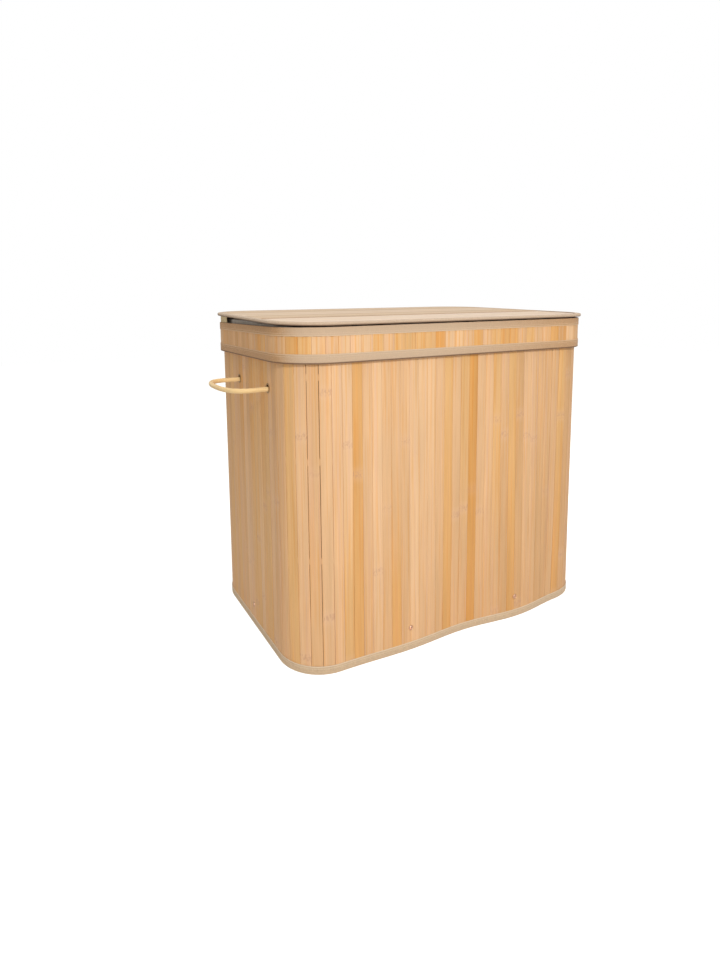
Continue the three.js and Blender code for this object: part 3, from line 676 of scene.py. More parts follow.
class Effect:
    """A shader node group with named inputs and outputs."""

    NAME = ""
    INPUTS: dict[str, str] = {}
    OUTPUTS: dict[str, str] = {}

    def __init__(self) -> None:
        """Make the group, with its sockets by name and kind."""
        self.tree = bpy.data.node_groups.new(self.NAME, "ShaderNodeTree")
        for in_out, sockets in (("INPUT", self.INPUTS), ("OUTPUT", self.OUTPUTS)):
            for label, kind in sockets.items():
                self.tree.interface.new_socket(label, in_out=in_out, socket_type=f"NodeSocket{kind}")
        nodes = Nodes(self.tree)
        self.given = nodes.add("NodeGroupInput").outputs
        result = nodes.add("NodeGroupOutput").inputs
        for label, socket in zip(self.OUTPUTS, self.draw(nodes), strict=True):
            nodes.feed(result[label], socket)

    def draw(self, nodes: Nodes) -> tuple[Socket, ...]:
        """Add the group's nodes and return its outputs in order."""
        raise NotImplementedError

    def put(self, nodes: Nodes, **inputs: Value) -> bpy.types.NodeOutputs:
        """Place the group in a material.

        Args:
            nodes: The material's nodes.
            **inputs: Values by input name.

        Returns:
            The group's outputs.
        """
        return nodes.add("ShaderNodeGroup", inputs, node_tree=self.tree).outputs


class BambooGrain(Effect):
    """Long grain, amber streaks and node marks of split bamboo."""

    NAME = "Bamboo grain"
    INPUTS = {
        "Tone": "Color", "Along": "Float", "Across": "Float", "Seed": "Float",
        "Streaks": "Float", "Marks": "Float",
    }
    OUTPUTS = {"Color": "Color", "Roughness": "Float", "Height": "Float"}

    AMBER_TINT = (0.97, 0.83, 0.62, 1)
    PINK_TINT = (0.95, 0.94, 1.06, 1)
    SLATS_APART = 37.3
    MARKS_PER_METRE = 2.6
    GLOW_REACH = (0.020, 0.004)
    SPECK_REACH = (0.009, 0.003)
    LINE_REACH = (0.0010, 0.0)
    GLOW_COLOUR = shade(238, 200, 164)
    SPECK_COLOUR = shade(198, 146, 122)
    LINE_COLOUR = shade(176, 126, 84)
    STREAK_RISE = 0.00010
    HAIR_RISE = 0.00005
    LINE_DEPTH = 0.00015

    def draw(self, nodes: Nodes) -> tuple[Socket, ...]:
        """Add the grain's nodes.

        Args:
            nodes: The group's nodes.

        Returns:
            Its colour, roughness and height.
        """
        tone, along, across, seed = (self.given[name] for name in ("Tone", "Along", "Across", "Seed"))
        apart = nodes.times(seed, self.SLATS_APART)

        def grain(fine: float, long: float, detail: float) -> Socket:
            """Return noise drawn out along the slat.

            Args:
                fine: Waves per metre across the slat.
                long: Waves per metre along the slat.
                detail: Octaves of the noise.

            Returns:
                The noise's value.
            """
            x = nodes.plus(nodes.times(across, fine), apart)
            y = nodes.scaled(along, long, apart)
            return nodes.noise(nodes.vector(x, y, seed), detail=detail)

        hair, streak = grain(1500, 14, 3), grain(300, 4.5, 2)
        blush, patch = grain(190, 3.0, 2), grain(55, 4.0, 2)
        amber, pink = nodes.tinted(tone, self.AMBER_TINT), nodes.tinted(tone, self.PINK_TINT)
        colour = nodes.stained(tone, nodes.ramp(streak, 0.47, 0.66), self.given["Streaks"], amber)
        colour = nodes.stained(colour, nodes.ramp(blush, 0.5, 0.68), 0.7, pink)
        colour = nodes.darkened(colour, nodes.times(nodes.around(hair, 0.26), nodes.around(patch, 0.34)))

        turn = nodes.part(nodes.scaled(along, self.MARKS_PER_METRE, nodes.times(seed, 7.7)))
        from_mark = nodes.over(nodes.apart(turn, 0.5), self.MARKS_PER_METRE)
        strength = nodes.ramp(nodes.part(nodes.times(seed, 5.13)), 0.2, 0.8)
        strength = nodes.times(strength, self.given["Marks"])
        glow = nodes.times(nodes.ramp(from_mark, *self.GLOW_REACH), strength)
        colour = nodes.stained(colour, glow, 0.35, self.GLOW_COLOUR)
        spot = nodes.vector(nodes.times(across, 520), nodes.times(along, 190), seed)
        specks = nodes.ramp(nodes.noise(spot, detail=3.0), 0.46, 0.60)
        mark = nodes.times(nodes.ramp(from_mark, *self.SPECK_REACH), specks, strength)
        colour = nodes.stained(colour, mark, 0.75, self.SPECK_COLOUR)
        line = nodes.times(nodes.ramp(from_mark, *self.LINE_REACH), strength)
        colour = nodes.stained(colour, line, 0.14, self.LINE_COLOUR)

        ridge = nodes.scaled(streak, self.STREAK_RISE, nodes.times(hair, self.HAIR_RISE))
        return colour, nodes.scaled(hair, 0.22, 0.38), nodes.minus(ridge, nodes.times(line, self.LINE_DEPTH))


class PlainWeave(Effect):
    """Over and under threads of a plain weave, with slubs and pale flecks."""

    NAME = "Plain weave"
    INPUTS = {
        "Along": "Float", "Across": "Float", "Pitch": "Float", "Warp": "Color", "Weft": "Color",
        "Fleck": "Color", "Flecks": "Float",
    }
    OUTPUTS = {"Color": "Color", "Height": "Float"}

    def draw(self, nodes: Nodes) -> tuple[Socket, ...]:
        """Add the weave's nodes.

        Args:
            nodes: The group's nodes.

        Returns:
            Its colour and height.
        """
        pitch = self.given["Pitch"]
        along, across = (nodes.over(self.given[name], pitch) for name in ("Along", "Across"))

        def cloudy(x: float, y: float, z: float) -> Socket:
            """Return noise over the threads, with sizes per thread."""
            return nodes.noise(nodes.vector(nodes.times(along, x), nodes.times(across, y), z))

        steps = nodes.plus(nodes.math("FLOOR", along), nodes.math("FLOOR", across))
        over = nodes.times(nodes.part(nodes.times(steps, 0.5)), 2.0)
        first, second = (nodes.math("SINE", nodes.times(nodes.part(x), math.pi)) for x in (along, across))
        crown = nodes.scaled(nodes.times(first, second), 0.6, nodes.times(nodes.plus(first, second), 0.2))
        slub, cross, spots = cloudy(0.09, 0.7, 3.0), cloudy(0.7, 0.09, 8.0), cloudy(0.5, 0.8, 21.0)
        factor = nodes.times(nodes.around(slub, 0.35), nodes.around(cross, 0.3))
        factor = nodes.times(factor, nodes.scaled(crown, 0.24, 0.86))
        colour = nodes.darkened(nodes.mix(over, self.given["Warp"], self.given["Weft"]), factor)
        flecks = nodes.ramp(spots, 0.55, 0.68)
        colour = nodes.stained(colour, flecks, self.given["Flecks"], self.given["Fleck"])
        return colour, nodes.times(crown, pitch, 0.2, nodes.around(slub, 0.8))


class StitchRow(Effect):
    """A row of sewn stitches along a strip."""

    NAME = "Stitch row"
    INPUTS = {"Along": "Float", "Across": "Float", "Row": "Float", "Pitch": "Float"}
    OUTPUTS = {"Mask": "Float", "Height": "Float"}

    THREAD_REACH = (0.00045, 0.0002)
    THREAD_RISE = 0.0003
    DIMPLE_REACH = (0.0016, 0.0)
    DIMPLE_DEPTH = 0.00018

    def draw(self, nodes: Nodes) -> tuple[Socket, ...]:
        """Add the row's nodes.

        Args:
            nodes: The group's nodes.

        Returns:
            The mask of its thread, and its height.
        """
        beside = nodes.apart(self.given["Across"], self.given["Row"])
        turn = nodes.part(nodes.over(self.given["Along"], self.given["Pitch"]))
        stitch = nodes.ramp(nodes.apart(turn, 0.5), 0.4, 0.34)
        mask = nodes.times(nodes.ramp(beside, *self.THREAD_REACH), stitch)
        dimple = nodes.times(nodes.ramp(beside, *self.DIMPLE_REACH), self.DIMPLE_DEPTH)
        return mask, nodes.minus(nodes.times(mask, self.THREAD_RISE), dimple)


@dataclass(frozen=True)
class Effects:
    """The shared effects, built once."""

    grain: BambooGrain = field(default_factory=BambooGrain)
    weave: PlainWeave = field(default_factory=PlainWeave)
    stitch: StitchRow = field(default_factory=StitchRow)


class Surface(Nodes):
    """A material with one shader, and the nodes that feed it."""

    def __init__(self, name: str, **values: Value) -> None:
        """Make the material.

        Args:
            name: Name of the material.
            **values: Values of the shader's inputs, with underscores for spaces.
        """
        self.material = bpy.data.materials.new(name)
        self.material.use_nodes = True
        self.material.node_tree.nodes.clear()
        super().__init__(self.material.node_tree)
        named = {key.replace("_", " "): value for key, value in values.items()}
        self.shader = self.add("ShaderNodeBsdfPrincipled", named)
        self.output = self.add("ShaderNodeOutputMaterial", {"Surface": self.shader.outputs[0]})

    def on_strip(self) -> tuple[Socket, Socket]:
        """Return the places along and across a strip, from the mesh."""
        return self.split(self.add("ShaderNodeUVMap", uv_map="place").outputs[0])[:2]

    def at_rest(self) -> Socket:
        """Return where the surface is when the hamper is at rest."""
        return self.add("ShaderNodeTexCoord").outputs["Object"]

    def round_wall(self) -> tuple[Socket, Socket]:
        """Return places round and up a wall."""
        x, y, z = self.split(self.at_rest())
        return self.plus(x, y), z

    def dressed(
        self, colour: Socket, height: Socket, strength: float, roughness: Socket | None = None,
    ) -> bpy.types.Material:
        """Feed the shader.

        Args:
            colour: Base colour.
            height: Height of the relief in metres.
            strength: Strength of the relief.
            roughness: Roughness, where it varies.

        Returns:
            The material.
        """
        relief = self.add("ShaderNodeBump", {"Height": height, "Distance": 1.0, "Strength": strength})
        self.feed(self.shader.inputs["Base Color"], colour)
        self.feed(self.shader.inputs["Normal"], relief.outputs[0])
        if roughness is not None:
            self.feed(self.shader.inputs["Roughness"], roughness)
        return self.material


@dataclass(frozen=True)
class Bamboo:
    """Split bamboo, planed flat, with a soft satin face."""

    name: str
    streaks: float = 0.75
    marks: float = 0.6

    def material(self, effects: Effects) -> bpy.types.Material:
        """Build the finish.

        Args:
            effects: The shared effects.

        Returns:
            The material.
        """
        nodes = Surface(self.name, IOR=1.45, Specular_IOR_Level=0.42)
        along, across = nodes.on_strip()
        tone = nodes.add("ShaderNodeAttribute", attribute_name="tone").outputs["Color"]
        seed = nodes.add("ShaderNodeAttribute", attribute_name="seed").outputs["Fac"]
        made = effects.grain.put(
            nodes, Tone=tone, Along=along, Across=across, Seed=seed, Streaks=self.streaks, Marks=self.marks,
        )
        return nodes.dressed(made["Color"], made["Height"], 0.7, made["Roughness"])


@dataclass(frozen=True)
class Cloth:
    """Plain woven cloth or tape, with what its edges and seams show, a painted sheen on its front and a
    painted shadow along its fold.
    """

    name: str
    warp: Colour
    weft: Colour
    fleck: Colour
    flecks: float = 0.5
    pitch: float = 0.0011
    edge: float = 0.0
    edge_rise: float = 0.0003
    stitches: tuple[float, ...] = ()
    stitch_pitch: float = 0.0034
    on_strip: bool = True
    # Painted sheen: a paler colour mixed onto the front of the tape where the key lamp's light falls, ramped
    # in across y and x.
    painted_sheen: Colour | None = None
    painted_sheen_y: Pair = (-0.150, -0.205)
    painted_sheen_x: Pair = (0.40, -0.10)
    # Painted shadow: a dark band just inside the fold, standing in for the contact shadow that falls there.
    fold: float = 0.0
    fold_painted_shadow: Colour = shade(98, 62, 34)

    def material(self, effects: Effects) -> bpy.types.Material:
        """Build the finish.

        Args:
            effects: The shared effects.

        Returns:
            The material.
        """
        nodes = Surface(self.name, Roughness=0.9, Sheen_Weight=0.18, Sheen_Roughness=0.5)
        along, across = nodes.on_strip() if self.on_strip else nodes.round_wall()
        made = effects.weave.put(
            nodes, Along=along, Across=across, Pitch=self.pitch,
            Warp=self.warp, Weft=self.weft, Fleck=self.fleck, Flecks=self.flecks,
        )
        colour, height = made["Color"], made["Height"]
        # The free edge is mixed towards the pale fleck colour and raised: partly a paler selvedge, partly a
        # painted highlight for light caught along the edge.
        if self.edge:
            lip = nodes.ramp(across, self.edge, self.edge * 0.4)
            colour = nodes.stained(colour, lip, 0.8, self.fleck)
            height = nodes.scaled(lip, self.edge_rise, height)
        for row in self.stitches:
            sewn = effects.stitch.put(nodes, Along=along, Across=across, Row=row, Pitch=self.stitch_pitch)
            colour = nodes.mix(sewn["Mask"], colour, self.fleck)
            height = nodes.plus(height, sewn["Height"])
        # Painted sheen: the front face, strongest from the middle to the left end, is mixed towards a paler
        # colour as if lit by the key lamp.
        if self.painted_sheen:
            x, y, _ = nodes.split(nodes.at_rest())
            front = nodes.times(nodes.ramp(y, *self.painted_sheen_y), nodes.ramp(x, *self.painted_sheen_x))
            colour = nodes.stained(colour, front, 0.55, self.painted_sheen)
        # Painted shadow: a dark band just inside the fold, standing in for the contact shadow under the
        # collar and under the lid's front edge.
        if self.fold:
            below = nodes.ramp(across, self.fold - 0.0030, self.fold - 0.0012)
            above = nodes.ramp(across, self.fold + 0.002, self.fold + 0.0008)
            colour = nodes.stained(colour, nodes.times(below, above), 0.8, self.fold_painted_shadow)
        return nodes.dressed(colour, height, 0.6)


@dataclass(frozen=True)
class Twine:
    """Smooth cotton rope, with fine fibres along its lay."""

    name: str = "Twisted rope"
    light: Colour = shade(252, 226, 172)
    dark: Colour = shade(234, 192, 130)
    fibre_rise: float = 0.0003

    def material(self) -> bpy.types.Material:
        """Build the finish.

        Returns:
            The material.
        """
        nodes = Surface(self.name, Roughness=0.78, Sheen_Weight=0.25, Sheen_Roughness=0.5)
        along, across = nodes.on_strip()
        slant = nodes.scaled(along, 160.0, nodes.times(across, 900.0))
        fibre = nodes.noise(nodes.vector(slant, nodes.times(along, 40.0), 2.0), detail=3.0)
        broad = nodes.noise(nodes.vector(nodes.times(along, 30.0), nodes.times(across, 90.0), 5.0))
        share = nodes.scaled(fibre, 0.9, nodes.scaled(broad, 0.5, -0.25), clamp=True)
        colour = nodes.mix(share, self.dark, self.light)
        return nodes.dressed(colour, nodes.times(fibre, self.fibre_rise), 0.6)


@dataclass(frozen=True)
class Steel:
    """Plated steel with fine scratches."""

    name: str = "Plated steel"
    tint: Colour = shade(206, 200, 192)
    scratch: float = 0.00002

    def material(self) -> bpy.types.Material:
        """Build the finish.

        Returns:
            The material.
        """
        nodes = Surface(self.name, Metallic=1.0)
        spot = nodes.at_rest()
        worn, dull = nodes.noise(spot, 900.0, 4.0, 0.6), nodes.noise(spot, 60.0, 2.0)
        colour = nodes.darkened(self.tint, nodes.times(nodes.around(worn, 0.2), nodes.around(dull, 0.2)))
        return nodes.dressed(colour, nodes.times(worn, self.scratch), 0.5, nodes.scaled(worn, 0.3, 0.18))


@dataclass(frozen=True)
class Fibreboard:
    """Brown pressed board with short fibres."""

    name: str = "Fibreboard"
    light: Colour = shade(176, 140, 104)
    dark: Colour = shade(138, 104, 72)
    fibre_rise: float = 0.0001

    def material(self) -> bpy.types.Material:
        """Build the finish.

        Returns:
            The material.
        """
        nodes = Surface(self.name)
        spot = nodes.at_rest()
        fibre, cloud = nodes.noise(spot, 700.0, 4.0, 0.65), nodes.noise(spot, 24.0, 3.0)
        share = nodes.scaled(fibre, 0.8, nodes.scaled(cloud, 0.8, -0.35), clamp=True)
        colour = nodes.mix(share, self.dark, self.light)
        return nodes.dressed(colour, nodes.times(fibre, self.fibre_rise), 0.5, nodes.scaled(fibre, 0.2, 0.72))


TAUPE = (shade(205, 159, 110), shade(180, 134, 87), shade(228, 192, 151))
# Paler tape colour for the painted sheen on the front of the tapes.
TAUPE_PAINTED_SHEEN = shade(218, 200, 178)
CREAM_TAPE = (shade(226, 200, 166), shade(206, 176, 142), shade(240, 222, 196))
LID_TAPE = (shade(211, 186, 160), shade(193, 167, 141), shade(234, 214, 192))
BROWN_BACKING = (shade(122, 88, 58), shade(96, 68, 44), shade(150, 116, 82))
CREAM_CLOTH = (shade(232, 212, 168), shade(216, 192, 146), shade(244, 230, 198))
PALE_LINEN = (shade(232, 229, 226), shade(216, 212, 208), shade(246, 244, 240))


class Finishes:
    """All finishes of the hamper as materials."""

    def __init__(self) -> None:
        """Build each material."""
        effects = Effects()
        self.bamboo = Bamboo("Wall bamboo").material(effects)
        self.collar_bamboo = Bamboo("Collar bamboo", 1.25, 0.1).material(effects)
        self.lid_bamboo = Bamboo("Lid bamboo", 0.5, 0.3).material(effects)

        def cloth(name: str, colours: Sequence[Colour], **details: object) -> bpy.types.Material:
            """Build a cloth from its warp, weft and fleck and what else it shows."""
            return Cloth(name, *colours, **details).material(effects)

        # The rim and collar tapes carry a painted sheen on their front.
        taupe = {"flecks": 0.6, "edge": 0.0022, "stitches": (0.0042,), "painted_sheen": TAUPE_PAINTED_SHEEN}
        self.tape = cloth("Binding tape", TAUPE, **taupe)
        # Painted shadow along the lower collar tape's fold, for the shadow under the collar.
        self.low_tape = cloth("Lower collar tape", TAUPE, fold=0.0157, **taupe)
        self.base_tape = cloth("Base tape", CREAM_TAPE, flecks=0.6, edge=0.0022, stitches=(0.0046,))
        # Painted shadow along the lid binding's lower fold, for the shadow under the lid's edge.
        self.lid_tape = cloth("Lid binding", LID_TAPE, stitches=(0.003,), fold=0.0166)
        self.backing = cloth("Backing cloth", BROWN_BACKING, flecks=0.3, on_strip=False)
        self.loop = cloth("Loop webbing", TAUPE, on_strip=False)
        self.hinge = cloth("Hinge cloth", CREAM_CLOTH, flecks=0.4)
        self.linen = cloth("Lining cloth", PALE_LINEN, flecks=0.3, pitch=0.0008)
        self.rope = Twine().material()
        self.steel = Steel().material()
        self.brassed = Steel("Brassed steel", shade(186, 152, 108)).material()
        self.coppered = Steel("Coppered steel", shade(232, 192, 166)).material()
        self.board = Fibreboard().material()


@dataclass(frozen=True)
class SlatShape:
    """Cross-section of a slat: flat, a little crowned, with eased edges."""

    thickness: float = 0.002
    ease: float = 0.0003
    crown: float = 0.00008

    def section(self, half: float) -> list[Pair]:
        """Draw the section as places across and out from the outer face.

        Args:
            half: Half of the slat's width.

        Returns:
            Points round the section, from the inner face's left end.
        """
        ease, bevel, shoulder = self.ease, 0.29 * self.ease, self.crown * 0.75
        left = [(-half, -self.thickness), (-half, -ease), (-half + bevel, -bevel), (-half + ease, 0.0)]
        middle = [(-half * 0.5, shoulder), (0.0, self.crown), (half * 0.5, shoulder)]
        return left + middle + [(-x, z) for x, z in reversed(left)]


@dataclass(frozen=True)
class Hole:
    """A round hole through the wall of one of the short sides."""

    x: float
    y: float
    z: float
    radius: float = 0.00715
    reach: float = 0.03

    def cutter(self) -> bpy.types.Object:
        """Make the rod that cuts the hole.

        Returns:
            The rod.
        """
        shell = bmesh.new()
        bmesh.ops.create_cone(
            shell, cap_ends=True, segments=32, radius1=self.radius, radius2=self.radius, depth=self.reach,
            matrix=Matrix.Translation((self.x, self.y, self.z)) @ Matrix.Rotation(math.pi / 2, 4, "Y"),
        )
        return shaped("hole", shell)


@dataclass(frozen=True)
class SlatRing:
    """Upright slats side by side round the outline, in eight runs.

    Corner runs have wider joints, which close where the slats touch their neighbours.
    """

    low: float
    high: float
    face: float
    long_slats: int
    short_slats: int
    joint: float
    corner_joint: float
    shape: SlatShape
    rings: int
    wavy: bool = False
    corner_slats: int = 6
    shift: float = 0.0
    touches: tuple[float, ...] = ()
    touch_half: float = 0.003
    touch_reach: float = 0.007
    touch_swell: float = 0.004
    slim: tuple[str, int] = ("", 0)
    slim_share: float = 1.9
    uneven: float = 0.0001

    LETTERS = {
        "P": Tone.PALE, "E": Tone.PEACH, "B": Tone.BEIGE, "H": Tone.HONEY, "T": Tone.TAN, "A": Tone.AMBER,
        "D": Tone.DEEP_AMBER,
    }
    WEIGHTS = (4, 6, 5, 6, 2, 2, 1)

    def tones(
        self, orders: tuple[str, str] | None, count: int, chance: random.Random,
    ) -> list[tuple[Tone, Tone]]:
        """Choose the tones of a run of slats.

        Args:
            orders: One letter for each slat's foot and one for its head, or nothing where chance decides.
            count: Number of slats.
            chance: Seeded chance.

        Returns:
            The tones of each slat's foot and head.
        """
        if orders:
            feet, heads = ([self.LETTERS[letter] for letter in order] for order in orders)
        else:
            tones = list(self.LETTERS.values())
            feet, others = (chance.choices(tones, weights=self.WEIGHTS, k=count) for _ in range(2))
            heads = [other if chance.random() < 0.3 else foot for foot, other in zip(feet, others)]
        return list(zip(feet, heads, strict=True))

    def drift(self, tones: tuple[Tone, Tone], z: float, number: int) -> Colour:
        """Find a slat's colour at a height, between the tones of its foot and its head.

        Args:
            tones: The tones of its foot and its head.
            z: The height.
            number: The slat's number round the wall.

        Returns:
            The colour.
        """
        share = (z - self.low) / (self.high - self.low)
        bent = share + 0.25 * noise.noise(Vector((number * 2.3, share * 2.0, 7.5)))
        part = min(max((bent - 0.3) / 0.45, 0.0), 1.0)
        return tuple(a + (b - a) * part for a, b in zip(tones[0].value, tones[1].value))

    def runs(self, orders: dict[str, tuple[str, str]], seed: str) -> dict[str, Patch]:
        """Lay all runs.

        Args:
            orders: Letters of the slats' tones by run, at their feet and at their heads.
            seed: Seed of what chance decides.

        Returns:
            One patch for each run by its name.
        """
        stations = OUTLINE.stations(self.long_slats, self.short_slats, self.corner_slats, self.shift)
        counts = (self.long_slats, self.corner_slats, self.short_slats, self.corner_slats) * 2
        found, first = {}, 0
        for name, count in zip(RUNS, counts):
            chance = random.Random(seed + name)
            patch = found[name] = Patch()
            bent = "corner" in name
            for i, tones in enumerate(self.tones(orders.get(name), count, chance)):
                share = 1.0 if bent else max(0.0, 0.6 - 0.15 * min(i, count - 1 - i))
                joint = self.joint + (self.corner_joint - self.joint) * share
                if (name, i) == self.slim:
                    joint *= self.slim_share
                ends = [stations[(first + i + step) % len(stations)].at(self.face, 0) for step in (0, 1)]
                self.slat(patch, *ends, joint, tones, self.touches if bent else (), first + i, chance)
            first += count
        return found

    def slat(
        self, patch: Patch, a: Vector, b: Vector, joint: float, tones: tuple[Tone, Tone],
        touches: Sequence[float], number: int, chance: random.Random,
    ) -> None:
        """Add one upright slat.

        Args:
            patch: Patch that the slat goes to.
            a: Where its outer face starts, on the floor's plane.
            b: Where its outer face ends.
            joint: Width of the joint to the next slat.
            tones: The tones of its foot and its head.
            touches: Heights where it swells to its neighbours.
            number: Its number round the wall.
            chance: Seeded chance.
        """
        way, middle, width = (b - a).normalized(), (a + b) / 2, (b - a).length
        out = Vector((way.y, -way.x, 0))
        depth = chance.uniform(-self.uneven, self.uneven)
        seed = number * SEED_STEP + chance.random()
        steps = (-self.touch_reach, -self.touch_half, self.touch_half, self.touch_reach)
        heights = {self.low + (self.high - self.low) * ring / self.rings for ring in range(self.rings + 1)}
        heights = sorted(heights | {touch + step for touch in touches for step in steps})
        rows = []
        for z in heights:
            swell = noise.noise(Vector((number * 3.7, z * 6.0, 0.5))) * joint * 0.3
            if any(abs(z - touch) < self.touch_swell for touch in touches):
                swell = joint * 0.42
            section = self.shape.section(width / 2 - joint / 2 + swell)
            row = [middle + way * x + out * (depth + y) + Vector((0, 0, z)) for x, y in section]
            rows.append([OUTLINE.sway(point) for point in row] if self.wavy else row)
        across = [x for x, _ in self.shape.section(width / 2)]
        patch.bar(rows, heights, across + across[:1], seed, [self.drift(tones, z, number) for z in heights])


@dataclass
class Curtain:
    """The wall: about a hundred upright slats, with holes for the rope at both short sides."""

    slats: SlatRing = SlatRing(
        low=0.00085, high=0.584, face=0.0, long_slats=27, short_slats=14,
        joint=0.00018, corner_joint=0.00072, shape=SlatShape(), rings=9, wavy=True,
        shift=-0.0107, touches=(0.201, 0.371, 0.511), slim=("corner_slats_front_left", 4),
    )

    ORDERS = {
        "front_slats": ("EHABPBABPEEBABBDBBBTATBBTTB", "PPAEPEEEPPPEHEHDEEHEHTEEBBB"),
        "corner_slats_front_right": ("ATBTTB", "HTBBTB"),
        "left_slats": ("BHBHBBPEHHPHHE", "BTHBTAETAHHAHE"),
        "corner_slats_front_left": ("BBHEBE", "TBHEBE"),
    }

    def build(self, finishes: Finishes) -> None:
        """Build the eight runs.

        Args:
            finishes: The hamper's materials.
        """
        for name, patch in self.slats.runs(self.ORDERS, "curtain").items():
            piece = patch.build(f"bamboo_{name}", finishes.bamboo)
            side = {"left_slats": -1, "right_slats": 1}.get(name, 0)
            if side:
                x = side * OUTLINE.half_length
                cut_away(piece, [Hole(x, y, EYELET_HEIGHT).cutter() for y in EYELET_SPOTS])
            settle(piece, Body.BASKET, Slot.BAMBOO, name)


@dataclass
class Bindings:
    """Tapes folded over the edges of the wall and the collar."""

    thickness: float = 0.0006
    fold_radius: float = 0.0009
    outer: float = 0.00055
    inner: float = -0.0033
    base_height: float = 0.015
    base_low: float = 0.0003
    rim_foot: float = 0.570
    rim_top: float = 0.58455
    hem_gap: float = 0.0003
    trough: float = -0.01015
    trough_top: float = 0.57285
    notch_width: float = 0.008
    notch_height: float = 0.008
    notch_rise: float = 0.00485
    notch_past: float = 0.001

    def strip(
        self, name: str, path: Sequence[Pair], material: bpy.types.Material, wavy: bool = False,
    ) -> bpy.types.Object:
        """Sweep a folded tape round the wall.

        Args:
            name: Name of the piece.
            path: Offsets and heights along the fold, from its outer free edge.
            material: Its finish.
            wavy: Whether it follows the wavy base line.

        Returns:
            The tape.
        """
        patch = Patch()
        ring, places = thickened(rounded(path, self.fold_radius), self.thickness)
        sweep(patch, OUTLINE.stations(50, 13, 12), ring, places, wavy)
        return patch.build(name, material)

    def build(self, finishes: Finishes) -> None:
        """Build the base tape and the rim tape.

        Args:
            finishes: The hamper's materials.
        """
        base = [
            (self.outer, self.base_height), (self.outer, self.base_low),
            (self.inner, self.base_low), (self.inner, self.base_height),
        ]
        tape = self.strip("binding_base", base, finishes.base_tape, wavy=True)
        settle(tape, Body.BASKET, Slot.TAPE, "base_tape")
        hem = self.rim_foot + self.hem_gap
        rim = [
            (self.outer, self.rim_foot), (self.outer, self.rim_top), (self.inner, self.rim_top),
            (self.inner, hem), (self.trough, hem), (self.trough, self.trough_top),
        ]
        tape = self.strip("binding_rim", rim, finishes.tape)
        cut_away(tape, [self.notch()])
        settle(tape, Body.BASKET, Slot.TAPE, "rim_tape")

    def notch(self) -> bpy.types.Object:
        """Make the block that cuts the rim tape's hem open for the divider rod.

        Returns:
            The block.
        """
        shell = bmesh.new()
        size = (self.notch_width, OUTLINE.depth + 2 * (self.trough + self.notch_past), self.notch_height)
        place = Matrix.Translation((0, 0, self.rim_foot + self.notch_rise)) @ Matrix.Diagonal((*size, 1))
        bmesh.ops.create_cube(shell, size=1, matrix=place)
        return shaped("notch", shell)


@dataclass
class Collar:
    """Lift-off band: short slats between two tapes, with a wire in the upper hem."""

    bottom: float = 0.53285
    height: float = 0.059
    slat_inset: float = 0.00085
    slat_face: float = 0.0058
    outer: float = 0.00635
    inner: float = 0.0030
    half_tape: float = 0.0003
    upper_tape: float = 0.014
    lower_tape: float = 0.016
    seat: float = 0.58645
    lip: float = -0.0034
    lip_top: float = 0.5890

    ORDERS = {
        "front_slats": ("PPPHEHHHHAPPEAEHAABHEEAT",) * 2,
        "left_slats": ("BTTBTBTTEBAHB",) * 2,
        "corner_slats_front_left": ("BBAHPE",) * 2,
    }

    def slats(self) -> SlatRing:
        """Lay out the short slats between the tapes.

        Returns:
            The ring of slats.
        """
        return SlatRing(
            low=self.bottom + self.slat_inset, high=self.bottom + self.height - self.slat_inset,
            face=self.slat_face, long_slats=24, short_slats=13, joint=0.00018, corner_joint=0.0004,
            shape=SlatShape(thickness=0.0014), rings=1,
        )

    def build(self, finishes: Finishes, bindings: Bindings) -> None:
        """Build the band and its two tapes.

        Args:
            finishes: The hamper's materials.
            bindings: What all tapes have alike.
        """
        for name, patch in self.slats().runs(self.ORDERS, "collar").items():
            piece = patch.build(f"bamboo_collar_{name}", finishes.collar_bamboo)
            settle(piece, Body.COLLAR, Slot.COLLAR_BAMBOO, f"collar_{name}")

        lower_top, floor = self.bottom + self.lower_tape, self.bottom + self.half_tape
        lower = [(self.outer, lower_top), (self.outer, floor), (self.inner, floor), (self.inner, lower_top)]
        tape = bindings.strip("binding_collar_lower", lower, finishes.low_tape)
        settle(tape, Body.COLLAR, Slot.TAPE, "collar_lower_tape")
        top = self.bottom + self.height - self.half_tape
        upper = [
            (self.outer, top - self.upper_tape), (self.outer, top), (self.inner, top),
            (self.inner, self.seat), (self.lip, self.seat), (self.lip, self.lip_top),
        ]
        tape = bindings.strip("binding_collar_upper", upper, finishes.tape)
        settle(tape, Body.COLLAR, Slot.TAPE, "collar_upper_tape")


